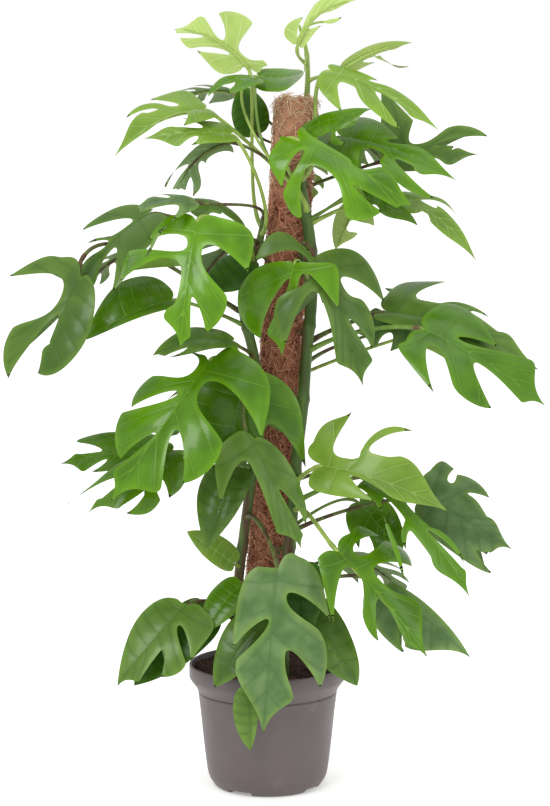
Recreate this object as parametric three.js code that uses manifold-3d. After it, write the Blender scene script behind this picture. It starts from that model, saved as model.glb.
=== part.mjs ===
// Mini monstera (Rhaphidophora tetrasperma) climbing a coir pole in a nursery pot.
// Millimetres, +Z up. The origin is the centre of the pot's foot; -Y is the plant's front.
import * as THREE from 'three';
import { mergeVertices } from 'three/addons/utils/BufferGeometryUtils.js';
import Module from 'manifold-3d';

const wasm = await Module();
wasm.setup();

// ---------------------------------------------------------------- driving dimensions
const GAP = 0.35; // between pieces that touch

const POT = {
  rimRadius: 95, height: 150, wall: 3, collarHeight: 16, collarTaper: 17, collarFoot: 84.5,
  beltRadius: 75, beltHeight: 32, footRadius: 63, floor: 3, sides: 32,
  notches: 4, notchWidth: 30, notchHeight: 5, notchDepth: 24, notchReach: 71.2, firstNotchAngle: -122,
};
const SOIL = { level: 140, unevenness: 1.6, lumpsAcross: 0.09, lumpsAlong: 0.11, rings: 3 };
const POLE = {
  foot: [-8, 138], head: [34.05, 828], // x and z of the leaning axis at the soil and at the top
  radius: 24.2, below: 34, turnHeight: 62, turns: 5, turnDepth: 0.9, sides: 16, steps: 16, flare: 1.5,
  coreRadius: 6, coreBelow: 100, coreCover: 12,
};
const STEM = {
  sides: 8, rootHeight: 100, nodeSpacing: 88, nodeSwell: 0.16, nodeLength: 9,
  tipTaper: 0.6, tipLength: 88, tipPower: 2,
};

// Lengths with two decimals or more are shares of the midrib's length; vee is in degrees.
const BLADE = {
  thickness: 0.9, ribThickness: 2, ribHalfWidth: 0.02, baseHalfWidth: 0.008,
  veinLean: 0.35, vee: 8, waveHeight: 0.01, waveLength: 11, wavePhase: 2.4,
  station: 0.02, fineLength: 120,
};
const STALK = {
  radius: 1.1, radiusPerLength: 0.009, maxRadius: 2.6, footSwell: 0.35,
  rise: 0.55, step: 46, seat: 0.5, fusedShare: 0.3,
};

// A stem is a line of points from the soil up, straight at each end.
const STEMS = {
  left: {
    radius: 6,
    points: [[-33, -22, 164], [-35, -26, 245], [-29, -27, 306], [-21, -30, 367], [-14, -32, 439],
      [-13, -30, 510], [-29, -24, 587], [-24, -20, 622], [-9, -17, 663], [-4, -20, 696]],
  },
  right: {
    radius: 7,
    points: [[19, -36, 167], [22, -34, 246], [29, -33, 331], [35, -31, 409], [42, -26, 468],
      [46, -22, 527], [52, -26, 593], [51, -30, 653], [44, -36, 706], [38, -40, 744]],
  },
  back: {
    radius: 6, tipTaper: 0.7, tipLength: 200, tipPower: 1,
    points: [[-4, 36, 132], [2, 36, 250], [16, 37, 400], [22, 36, 550], [34, 36, 700], [46, 35, 820],
      [48, 33, 856], [46, 26, 886], [38, 12, 914]],
  },
};

// ---------------------------------------------------------------- the leaves, one by one
// base and tip: the ends of the midrib. face: where the upper side looks, as its turn from the front
// and its tilt up. arch and bend: how far the midrib bows up and aside. droop: how far the right and
// the left half curl down. width: the reach of the wider half. stalk: the stem that carries the leaf, the
// height there, and how the stalk leaves it and comes in. back, shoulder: the basal lobe's rear corner
// and its widest point. cuts: see below at the blade.
const LEAVES = [
  {
    name: 'crown_1', base: [-22, -26, 865], tip: [-109, -10, 910], face: [172, 22],
    arch: .04, bend: .11, droop: [12, 12], width: .33,
    stalk: { stem: 'left', height: 680, turn: -90, out: 50, into: 25, sag: 12 },
    right: {
      back: [.1, .12], shoulder: [-.12, .2],
      cuts: [[.17, .05, -.04, .2, .26, .42], [.45, .03, .57, .3, .69, .19]],
    },
    left: {
      back: [-.04, .1], shoulder: [.28, .33],
      cuts: [[.28, .05, .7, .22, .79, .21], [.66, .02, .94, .1, .98, .05]],
    },
  },
  {
    name: 'crown_2', base: [-15, -47, 854], tip: [-68, -91, 832], face: [-20, 62],
    arch: .12, bend: 0, droop: [40, 40], width: .34,
    stalk: { stem: 'right', height: 725, turn: 15, out: 60, into: 20, sag: 50 },
    right: { back: [.05, .16], shoulder: [.4, .34], cuts: [[.5, .12, .81, .21, .72, .01]] },
    left: { back: [.05, .16], shoulder: [.33, .23], cuts: [] },
  },
  {
    name: 'crown_3', base: [37, -8, 895], tip: [104, -30, 943], face: [150, 30],
    arch: .05, bend: -.14, droop: [10, 10], width: .24,
    stalk: { stem: 'back', height: 870, turn: -30, out: 10, into: 15, sag: 5 },
    right: {
      back: [.05, .07], shoulder: [.18, .12],
      cuts: [[.22, .02, .37, .13, .44, .15], [.34, .01, .73, .18, .49, .01]],
    },
    left: { back: [.05, .08], shoulder: [.07, .24], cuts: [[.08, .04, .28, .12, .47, .13]] },
  },
  {
    name: 'crown_4', base: [-11, -28, 856], tip: [42, -66, 860], face: [10, 50],
    arch: -.08, bend: 0, droop: [25, 25], width: .44,
    stalk: { stem: 'right', height: 720, turn: 60, out: 70, into: 60, sag: 25 },
    right: { back: [.05, .16], shoulder: [.38, .32], cuts: [] },
    left: { back: [.05, .16], shoulder: [.75, .44], cuts: [] },
  },
  {
    name: 'crown_5', base: [92, -11, 867], tip: [169, -27, 894], face: [160, 50],
    arch: .1, bend: 0, droop: [15, 15], width: .2,
    stalk: { stem: 'back', height: 850, turn: 0, out: 15, into: 15, sag: 5 },
    right: {
      back: [.05, .12], shoulder: [.2, .2],
      cuts: [[.26, .09, .39, .22, .49, .12], [.49, .08, .82, .44, .6, .06]],
    },
    left: { back: [.05, .07], shoulder: [.38, .12], cuts: [] },
  },
  {
    name: 'crown_6', base: [75, -31, 861], tip: [200, -57, 792], face: [25, 48],
    arch: .07, bend: 0, droop: [35, 35], width: .2,
    stalk: { stem: 'right', height: 740, turn: -30, out: 35, into: 40, sag: 10 },
    right: { back: [.05, .1], shoulder: [.12, .13], cuts: [[.31, .05, .36, .1, .43, .09]] },
    left: {
      back: [.05, .12], shoulder: [.03, .26],
      cuts: [[.16, .09, .24, .32, .27, .12], [.43, .03, .74, .22, .68, .05]],
    },
  },
  {
    name: 'top_right_1', base: [44, -53, 793], tip: [120, -85, 818], face: [5, 35],
    arch: .05, bend: 0, droop: [25, 25], width: .14,
    stalk: { stem: 'right', height: 735, turn: 0, out: 15, into: 15, sag: 5 },
    right: { back: [.03, .11], shoulder: [.35, .14], cuts: [] },
    left: {
      back: [.05, .06], shoulder: [.14, .16],
      cuts: [[.38, .17, .28, .18, .35, .28], [.53, .19, .58, .49, .67, .17]],
    },
  },
  {
    name: 'top_right_2', base: [37, -74, 782], tip: [168, -110, 706], face: [12, 38],
    arch: .06, bend: 0, droop: [38, 38], width: .25,
    stalk: { stem: 'right', height: 700, turn: 25, out: 15, into: 60, sag: 5 },
    right: { back: [.05, .16], shoulder: [.13, .07], cuts: [[.5, .01, .41, .04, .62, .13]] },
    left: {
      back: [.13, .05], shoulder: [-.12, .25],
      cuts: [
        [.08, .07, .07, .41, .08, .43],
        [.27, .14, .3, .54, .63, .37],
        [.55, .14, .83, .18, .88, .1],
      ],
    },
  },
  {
    name: 'top_right_3', base: [86, -22, 785], tip: [220, -62, 735], face: [10, 45],
    arch: .08, bend: 0, droop: [30, 30], width: .33,
    stalk: { stem: 'right', height: 735, turn: 45, out: 20, into: 15, sag: 5 },
    right: { back: [.05, .12], shoulder: [.05, .33], cuts: [[.38, .05, .44, .12, .54, .1]] },
    left: {
      back: [.05, .15], shoulder: [.2, .43],
      cuts: [[.3, .07, .41, .48, .41, .18], [.55, .09, .93, .26, .68, .12]],
    },
  },
  {
    name: 'top_right_4', base: [143, 12, 757], tip: [249, -12, 764], face: [8, 35],
    arch: .04, bend: 0, droop: [20, 20], width: 1,
    stalk: { stem: 'back', height: 720, turn: 0, out: 30, into: 25, sag: 5 },
    right: {
      back: [.1, .37], shoulder: [-.14, 1],
      cuts: [[.33, .15, .27, .46, .65, .33], [.59, .11, 1.09, .22, .71, .05]],
    },
    left: { back: [.05, .12], shoulder: [.21, .2], cuts: [[.48, .04, .42, .22, .65, .14]] },
  },
  {
    name: 'top_right_5', base: [154, -24, 714], tip: [245, -48, 640], face: [30, 40],
    arch: .12, bend: 0, droop: [20, 20], width: .16,
    stalk: { stem: 'right', height: 685, turn: 0, out: 50, into: 20, sag: 5 },
    right: { back: [.05, .06], shoulder: [.32, .29], cuts: [[.24, .08, .63, .32, .35, .14]] },
    left: { back: [.05, .1], shoulder: [.14, .16], cuts: [[.3, .01, .28, .01, .42, .11]] },
  },
  {
    name: 'top_right_6', base: [99, -42, 719], tip: [175, -66, 683], face: [12, 40],
    arch: .08, bend: 0, droop: [30, 30], width: .24,
    stalk: { stem: 'right', height: 690, turn: 0, out: 15, into: 10, sag: 5 },
    right: { back: [.05, .12], shoulder: [.38, .2], cuts: [] },
    left: { back: [.05, .14], shoulder: [.2, .24], cuts: [[.37, .06, .41, .21, .49, .14]] },
  },
  {
    name: 'top_right_7', base: [105, 0, 703], tip: [81, -6, 651], face: [170, 20],
    arch: .04, bend: 0, droop: [10, 10], width: .4,
    stalk: { stem: 'right', height: 690, turn: 0, out: 20, into: 25, sag: 5 },
    right: { back: [.05, .16], shoulder: [.38, .3], cuts: [] },
    left: { back: [.05, .16], shoulder: [.11, .46], cuts: [[.42, .01, .22, .51, .49, .27]] },
  },
  {
    name: 'top_left_1', base: [-73, -48, 817], tip: [-176, -92, 763], face: [-15, 58],
    arch: .13, bend: 0, droop: [34, 4], width: .35,
    stalk: { stem: 'right', height: 725, turn: -45, out: 35, into: 30, sag: 10 },
    right: { back: [.05, .13], shoulder: [.17, .22], cuts: [[.24, .02, .34, .22, .44, .01]] },
    left: {
      back: [.05, .13], shoulder: [.02, .35],
      cuts: [[.21, .11, .38, .31, .33, .21], [.41, .14, .68, .25, .53, .19]],
    },
  },
  {
    name: 'top_left_2', base: [-42, -62, 789], tip: [-142, -104, 784], face: [-10, 48],
    arch: .05, bend: 0, droop: [26, 26], width: .25,
    stalk: { stem: 'left', height: 671, turn: 60, out: 50, into: 25, sag: 10 },
    right: { back: [.05, .1], shoulder: [.27, .18], cuts: [[.43, .07, .54, .2, .65, .19]] },
    left: { back: [.05, .1], shoulder: [.19, .25], cuts: [[.34, .07, .48, .28, .6, .11]] },
  },
  {
    name: 'top_left_3', base: [-46, -42, 778], tip: [-104, -60, 723], face: [-172, 16],
    arch: .04, bend: .13, droop: [8, 8], width: .14,
    stalk: { stem: 'right', height: 735, turn: -30, out: 25, into: 20, sag: 5 },
    right: { back: [.05, .16], shoulder: [.59, .14], cuts: [[.64, .03, 1, .2, 1.01, .08]] },
    left: {
      back: [.05, .16], shoulder: [.21, .08],
      cuts: [[.47, .06, .41, .15, .61, .18], [.76, .09, 1, .24, .95, .11]],
    },
  },
  {
    name: 'top_left_4', base: [-13, 6, 790], tip: [-32, -8, 846], face: [10, 20],
    arch: .04, bend: 0, droop: [20, 20], width: .4,
    stalk: { stem: 'back', height: 765, turn: -45, out: 20, into: 15, sag: 5 },
    right: { back: [.05, .16], shoulder: [.38, .4], cuts: [] },
    left: { back: [.05, .16], shoulder: [.38, .36], cuts: [] },
  },
  {
    name: 'mid_left_2', base: [-87, -76, 710], tip: [-21, -58, 670], face: [8, 62],
    arch: .17, bend: 0, droop: [40, 40], width: .25,
    stalk: { stem: 'left', height: 660, turn: 30, out: 50, into: 40, sag: 40 },
    right: { back: [.05, .12], shoulder: [.38, .2], cuts: [] },
    left: { back: [.05, .07], shoulder: [.04, .25], cuts: [[.34, .15, .2, .31, .42, .09]] },
  },
  {
    name: 'mid_left_3', base: [-84, -116, 714], tip: [-150, -144, 707], face: [-10, 66],
    arch: .08, bend: 0, droop: [40, 40], width: .43,
    stalk: { stem: 'left', height: 690, turn: 45, out: 55, into: 25, sag: 5 },
    right: { back: [.05, .12], shoulder: [.5, .5], cuts: [[.48, .19, 1.22, .89, .98, .18]] },
    left: { back: [.05, .16], shoulder: [.32, .36], cuts: [[.4, .07, .5, .33, .6, .2]] },
  },
  {
    name: 'mid_left_1', base: [-79, -140, 692], tip: [-97, -186, 551], face: [-10, 36],
    arch: .07, bend: 0, droop: [40, 40], width: .43,
    stalk: { stem: 'left', height: 640, turn: 30, out: 65, into: 30, sag: 10 },
    right: {
      back: [.05, .16], shoulder: [.02, .43],
      cuts: [[.25, .08, .35, .45, .57, .31], [.62, .05, .86, .18, .88, .07]],
    },
    left: {
      back: [.05, .16], shoulder: [.04, .31],
      cuts: [[.2, .04, .16, .4, .19, .6], [.46, .05, .47, .63, .73, .14]],
    },
  },
  {
    name: 'mid_left_4', base: [-137, -51, 696], tip: [-228, -91, 585], face: [-30, 42],
    arch: .12, bend: 0, droop: [26, 8], width: .3,
    stalk: { stem: 'left', height: 650, turn: 60, out: 35, into: 25, sag: 10 },
    right: {
      back: [.05, .16], shoulder: [.36, .3],
      cuts: [[.44, .05, .71, .28, .64, .08], [.73, .03, .84, .09, .89, .05]],
    },
    left: {
      back: [.05, .04], shoulder: [.18, .3],
      cuts: [[.17, .03, .42, .31, .37, .07], [.41, .03, .49, .18, .54, .07]],
    },
  },
  {
    name: 'mid_left_5', base: [-215, -107, 642], tip: [-261, -145, 520], face: [-22, 34],
    arch: .06, bend: .06, droop: [34, 0], width: .31,
    stalk: { stem: 'left', height: 580, turn: -45, out: 75, into: 85, sag: 15 },
    right: { back: [-.1, .09], shoulder: [.59, .28], cuts: [] },
    left: {
      back: [.05, .16], shoulder: [-.04, .31],
      cuts: [[.29, .07, .2, .61, .73, .38], [.56, .02, 1.16, .22, .74, .01]],
    },
  },
  {
    name: 'mid_left_6', base: [-112, -46, 595], tip: [-211, -80, 552], face: [-15, 26],
    arch: .1, bend: 0, droop: [30, 30], width: .42,
    stalk: { stem: 'left', height: 565, turn: 0, out: 25, into: 20, sag: 5 },
    right: { back: [.05, .12], shoulder: [.48, .08], cuts: [] },
    left: { back: [.05, .16], shoulder: [.3, .42], cuts: [] },
  },
  {
    name: 'mid_left_7', base: [-20, -31, 638], tip: [-73, -49, 605], face: [-5, 40],
    arch: .05, bend: 0, droop: [25, 25], width: .4,
    stalk: { stem: 'left', height: 600, turn: -35, out: 40, into: 25, sag: 12 },
    right: { back: [.05, .16], shoulder: [.38, .4], cuts: [] },
    left: { back: [.05, .16], shoulder: [.38, .4], cuts: [] },
  },
  {
    name: 'middle_1', base: [55, -77, 648], tip: [111, -99, 499], face: [14, 30],
    arch: .07, bend: 0, droop: [38, 38], width: .4,
    stalk: { stem: 'right', height: 610, turn: -30, out: 15, into: 60, sag: 5 },
    right: {
      back: [.01, .16], shoulder: [.13, .4],
      cuts: [[.25, .1, .49, .4, .41, .2], [.52, .05, .77, .14, .82, .12]],
    },
    left: {
      back: [.07, .02], shoulder: [-.24, .12],
      cuts: [[.04, .06, -.14, .42, .18, .37], [.31, .09, .52, .45, .73, .14]],
    },
  },
  {
    name: 'middle_2', base: [31, -89, 640], tip: [17, -71, 530], face: [-14, 34],
    arch: .07, bend: 0, droop: [34, 34], width: .58,
    stalk: { stem: 'right', height: 615, turn: 0, out: 15, into: 15, sag: 5 },
    right: { back: [.04, .04], shoulder: [-.09, .41], cuts: [[.16, .09, .36, .55, .31, .09]] },
    left: { back: [.02, .05], shoulder: [.42, .58], cuts: [[.17, .01, .84, .24, .73, .17]] },
  },
  {
    name: 'mid_right_1', base: [182, -79, 564], tip: [321, -115, 478], face: [18, 40],
    arch: .06, bend: 0, droop: [32, 32], width: .39,
    stalk: { stem: 'right', height: 535, turn: 0, out: 65, into: 30, sag: 10 },
    right: { back: [.05, .16], shoulder: [.09, .39], cuts: [[.27, .05, .5, .16, .73, .25]] },
    left: {
      back: [.05, .16], shoulder: [-.07, .24],
      cuts: [[.13, .11, .32, .42, .4, .31], [.47, .05, .71, .29, .83, .11]],
    },
  },
  {
    name: 'mid_right_2', base: [140, -26, 579], tip: [318, -64, 514], face: [12, 48],
    arch: .1, bend: 0, droop: [30, 30], width: .36,
    stalk: { stem: 'right', height: 545, turn: 30, out: 25, into: 20, sag: 5 },
    right: {
      back: [.05, .14], shoulder: [.02, .36],
      cuts: [[.19, .14, .24, .42, .31, .16], [.45, .15, .6, .17, .68, .09]],
    },
    left: { back: [.05, .07], shoulder: [.38, .12], cuts: [] },
  },
  {
    name: 'mid_right_3', base: [182, -1, 572], tip: [100, -21, 552], face: [0, 34],
    arch: .04, bend: 0, droop: [14, 14], width: .4,
    stalk: { stem: 'right', height: 520, turn: 35, out: 60, into: 60, sag: 25 },
    right: { back: [.05, .12], shoulder: [.3, .38], cuts: [[.53, .15, .6, .42, .76, .31]] },
    left: { back: [.05, .16], shoulder: [-.03, .4], cuts: [[.28, .13, .33, .56, .56, .27]] },
  },
  {
    name: 'low_left_2', base: [-41, -72, 549], tip: [-132, -112, 536], face: [-12, 52],
    arch: .12, bend: 0, droop: [20, 20], width: .24,
    stalk: { stem: 'left', height: 530, turn: 0, out: 15, into: 10, sag: 5 },
    right: { back: [.05, .08], shoulder: [.42, .2], cuts: [[.6, .1, .85, .15, .88, .1]] },
    left: { back: [.05, .1], shoulder: [.36, .24], cuts: [] },
  },
  {
    name: 'low_left_1', base: [-67, -96, 529], tip: [-180, -150, 371], face: [-16, 38],
    arch: .09, bend: .05, droop: [40, 40], width: .38,
    stalk: { stem: 'left', height: 515, turn: 0, out: 20, into: 15, sag: 5 },
    right: {
      back: [.12, .13], shoulder: [-.02, .38],
      cuts: [[.18, .06, .25, .52, .39, .35], [.48, .08, .68, .29, .76, .21]],
    },
    left: {
      back: [.02, .07], shoulder: [0, .22],
      cuts: [
        [.07, .04, .08, .46, .21, .27],
        [.27, .04, .47, .25, .53, .29],
        [.54, .01, .77, .1, .82, .09],
      ],
    },
  },
  {
    name: 'low_left_4', base: [-111, -89, 421], tip: [-207, -123, 355], face: [-14, 46],
    arch: .07, bend: 0, droop: [30, 30], width: .24,
    stalk: { stem: 'left', height: 395, turn: 0, out: 30, into: 45, sag: 25 },
    right: {
      back: [.05, .12], shoulder: [.16, .39],
      cuts: [[.29, .18, .31, .43, .39, .39], [.44, .22, .74, .28, .73, .2]],
    },
    left: { back: [.05, .12], shoulder: [.65, .24], cuts: [[.59, .01, 1.09, .28, .81, .01]] },
  },
  {
    name: 'low_left_3', base: [-121, -53, 418], tip: [-243, -83, 406], face: [-14, 42],
    arch: .04, bend: 0, droop: [26, 26], width: .28,
    stalk: { stem: 'left', height: 375, turn: 0, out: 30, into: 20, sag: 5 },
    right: { back: [.05, .11], shoulder: [.36, .18], cuts: [[.57, .05, .73, .16, .78, .14]] },
    left: { back: [.05, .11], shoulder: [.49, .28], cuts: [[.61, .05, .75, .19, .79, .06]] },
  },
  {
    name: 'low_left_5', base: [-27, -50, 510], tip: [-49, -66, 392], face: [0, 30],
    arch: .04, bend: 0, droop: [26, 26], width: .59,
    stalk: { stem: 'left', height: 500, turn: 0, out: 10, into: 10, sag: 5 },
    right: { back: [.05, .13], shoulder: [.22, .59], cuts: [[.54, .3, .82, .77, .75, .2]] },
    left: { back: [.05, .16], shoulder: [.38, .46], cuts: [] },
  },
  {
    name: 'low_left_6', base: [-24, -78, 444], tip: [40, -104, 309], face: [8, 32],
    arch: .05, bend: 0, droop: [26, 26], width: .34,
    stalk: { stem: 'left', height: 525, turn: 0, out: 40, into: 20, sag: 5 },
    right: { back: [-.07, .04], shoulder: [.44, .19], cuts: [[.52, .02, .84, .1, .88, .05]] },
    left: { back: [.02, .1], shoulder: [.13, .34], cuts: [[.27, .1, .44, .45, .77, .13]] },
  },
  {
    name: 'low_left_7', base: [-39, -56, 395], tip: [-71, -88, 306], face: [-8, 32],
    arch: .05, bend: 0, droop: [26, 26], width: .34,
    stalk: { stem: 'left', height: 385, turn: 0, out: 10, into: 5, sag: 0 },
    right: { back: [.05, .16], shoulder: [.32, .24], cuts: [] },
    left: { back: [.05, .16], shoulder: [.31, .34], cuts: [] },
  },
  {
    name: 'low_left_8', base: [-41, -44, 281], tip: [-95, -70, 324], face: [-14, 30],
    arch: .02, bend: 0, droop: [20, 20], width: .26,
    stalk: { stem: 'left', height: 275, turn: 0, out: 10, into: 10, sag: 5 },
    right: { back: [.05, .12], shoulder: [.38, .2], cuts: [] },
    left: { back: [.05, .16], shoulder: [.38, .26], cuts: [] },
  },
  {
    name: 'low_right_1', base: [64, -98, 406], tip: [210, -134, 358], face: [12, 34],
    arch: .1, bend: 0, droop: [-14, 34], width: .21,
    stalk: { stem: 'right', height: 380, turn: 0, out: 20, into: 15, sag: 5 },
    right: {
      back: [.13, .17], shoulder: [-.03, .36],
      cuts: [[.13, .09, .11, .45, .25, .18], [.34, .17, .54, .43, .53, .22]],
    },
    left: { back: [.05, .16], shoulder: [.08, .21], cuts: [[.25, .03, .49, .17, .5, .08]] },
  },
  {
    name: 'low_right_2', base: [130, -86, 388], tip: [235, -122, 256], face: [12, 42],
    arch: .08, bend: 0, droop: [36, 36], width: .25,
    stalk: { stem: 'right', height: 355, turn: 0, out: 30, into: 25, sag: 5 },
    right: {
      back: [.05, .16], shoulder: [.08, .25],
      cuts: [[.27, .02, .47, .25, .47, .04], [.48, .01, .8, .09, .81, .06]],
    },
    left: {
      back: [.05, .16], shoulder: [.16, .15],
      cuts: [[.18, .06, .66, .33, .35, .1], [.43, .09, .49, .2, .63, .09]],
    },
  },
  {
    name: 'low_right_3', base: [188, -48, 358], tip: [289, -72, 302], face: [12, 40],
    arch: .04, bend: 0, droop: [26, 26], width: .55,
    stalk: { stem: 'right', height: 320, turn: 0, out: 40, into: 35, sag: 10 },
    right: {
      back: [.13, .34], shoulder: [-.09, .55],
      cuts: [[.11, .31, .06, .52, .12, .46], [.35, .28, .53, .38, .61, .16]],
    },
    left: { back: [.05, .16], shoulder: [.48, .4], cuts: [[.73, .23, .94, .36, .8, .19]] },
  },
  {
    name: 'low_right_4', base: [82, -112, 308], tip: [186, -142, 188], face: [8, 36],
    arch: .06, bend: 0, droop: [34, 34], width: .27,
    stalk: { stem: 'right', height: 345, turn: 0, out: 25, into: 20, sag: 5 },
    right: {
      back: [.05, .16], shoulder: [-.07, .27],
      cuts: [[.1, .08, .09, .44, .1, .61], [.33, .08, .42, .43, .63, .2]],
    },
    left: {
      back: [.05, .16], shoulder: [-.01, .18],
      cuts: [[.18, .01, .39, .4, .42, .15], [.48, .01, .68, .22, .76, .06]],
    },
  },
  {
    name: 'low_right_5', base: [135, -66, 259], tip: [238, -100, 179], face: [12, 36],
    arch: .04, bend: 0, droop: [22, 22], width: .39,
    stalk: { stem: 'right', height: 240, turn: 0, out: 30, into: 50, sag: 5 },
    right: { back: [-.03, .05], shoulder: [.41, .11], cuts: [] },
    left: { back: [.05, .16], shoulder: [.35, .39], cuts: [[.39, .22, .47, .35, .51, .34]] },
  },
  {
    name: 'low_right_6', base: [110, -14, 348], tip: [160, -34, 288], face: [10, 30],
    arch: .05, bend: 0, droop: [20, 20], width: .4,
    stalk: { stem: 'right', height: 325, turn: 20, out: 30, into: 25, sag: 5 },
    right: { back: [.05, .16], shoulder: [.38, .36], cuts: [] },
    left: { back: [.05, .16], shoulder: [.28, .42], cuts: [[.43, .23, .55, .47, .76, .32]] },
  },
  {
    name: 'skirt_1', base: [11, -112, 288], tip: [-5, -128, 93], face: [2, 30],
    arch: .08, bend: 0, droop: [34, 34], width: .28,
    stalk: { stem: 'left', height: 335, turn: 0, out: 25, into: 20, sag: 5 },
    right: {
      back: [.08, .12], shoulder: [.06, .28],
      cuts: [[.16, .07, .28, .36, .33, .27], [.5, .09, .7, .32, .72, .15]],
    },
    left: { back: [0, .11], shoulder: [.18, .21], cuts: [[.31, .02, .49, .22, .55, .19]] },
  },
  {
    name: 'skirt_2', base: [48, -50, 233], tip: [106, -84, 141], face: [10, 30],
    arch: .05, bend: 0, droop: [24, 24], width: .28,
    stalk: { stem: 'right', height: 225, turn: 0, out: 10, into: 15, sag: 0 },
    right: { back: [.05, .16], shoulder: [.43, .22], cuts: [] },
    left: { back: [.05, .16], shoulder: [.38, .28], cuts: [] },
  },
  {
    name: 'skirt_3', base: [-94, -77, 238], tip: [-175, -117, 149], face: [-12, 36],
    arch: .06, bend: 0, droop: [26, 26], width: .34,
    stalk: { stem: 'left', height: 225, turn: 0, out: 20, into: 15, sag: 5 },
    right: {
      back: [.05, .16], shoulder: [.01, .34],
      cuts: [[.22, .09, .41, .41, .45, .39], [.52, .13, .69, .29, .83, .15]],
    },
    left: { back: [-.02, .1], shoulder: [.33, .28], cuts: [] },
  },
  {
    name: 'skirt_4', base: [-73, -54, 224], tip: [-157, -90, 143], face: [-8, 34],
    arch: .05, bend: 0, droop: [20, 20], width: .26,
    stalk: { stem: 'left', height: 210, turn: 0, out: 10, into: 10, sag: 5 },
    right: { back: [.05, .16], shoulder: [.38, .26], cuts: [] },
    left: { back: [.05, .16], shoulder: [.38, .26], cuts: [] },
  },
  {
    name: 'skirt_5', base: [-32, -59, 259], tip: [-76, -89, 205], face: [-10, 36],
    arch: .08, bend: 0, droop: [30, 30], width: .3,
    stalk: { stem: 'left', height: 250, turn: 0, out: 10, into: 5, sag: 0 },
    right: { back: [.05, .16], shoulder: [.38, .26], cuts: [] },
    left: { back: [.05, .16], shoulder: [.38, .3], cuts: [] },
  },
  {
    name: 'skirt_6', base: [1, -84, 230], tip: [-62, -112, 146], face: [-6, 34],
    arch: .05, bend: 0, droop: [20, 20], width: .28,
    stalk: { stem: 'right', height: 215, turn: 0, out: 15, into: 10, sag: 5 },
    right: { back: [.05, .14], shoulder: [.38, .24], cuts: [] },
    left: { back: [.05, .16], shoulder: [.38, .28], cuts: [] },
  },
  {
    name: 'skirt_7', base: [-20, -104, 141], tip: [-20, -114, 71], face: [0, 20],
    arch: .06, bend: 0, droop: [20, 20], width: .28,
    stalk: { stem: 'left', height: 175, turn: 0, out: 30, into: 20, sag: 5 },
    right: { back: [.05, .08], shoulder: [.38, .13], cuts: [] },
    left: { back: [.05, .16], shoulder: [.38, .28], cuts: [] },
  },
  {
    name: 'skirt_8', base: [41, -62, 281], tip: [35, -84, 187], face: [0, 30],
    arch: .05, bend: 0, droop: [20, 20], width: .28,
    stalk: { stem: 'right', height: 275, turn: 0, out: 10, into: 5, sag: 5 },
    right: { back: [.05, .16], shoulder: [.38, .28], cuts: [] },
    left: { back: [.05, .16], shoulder: [.38, .28], cuts: [] },
  },
];

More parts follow.
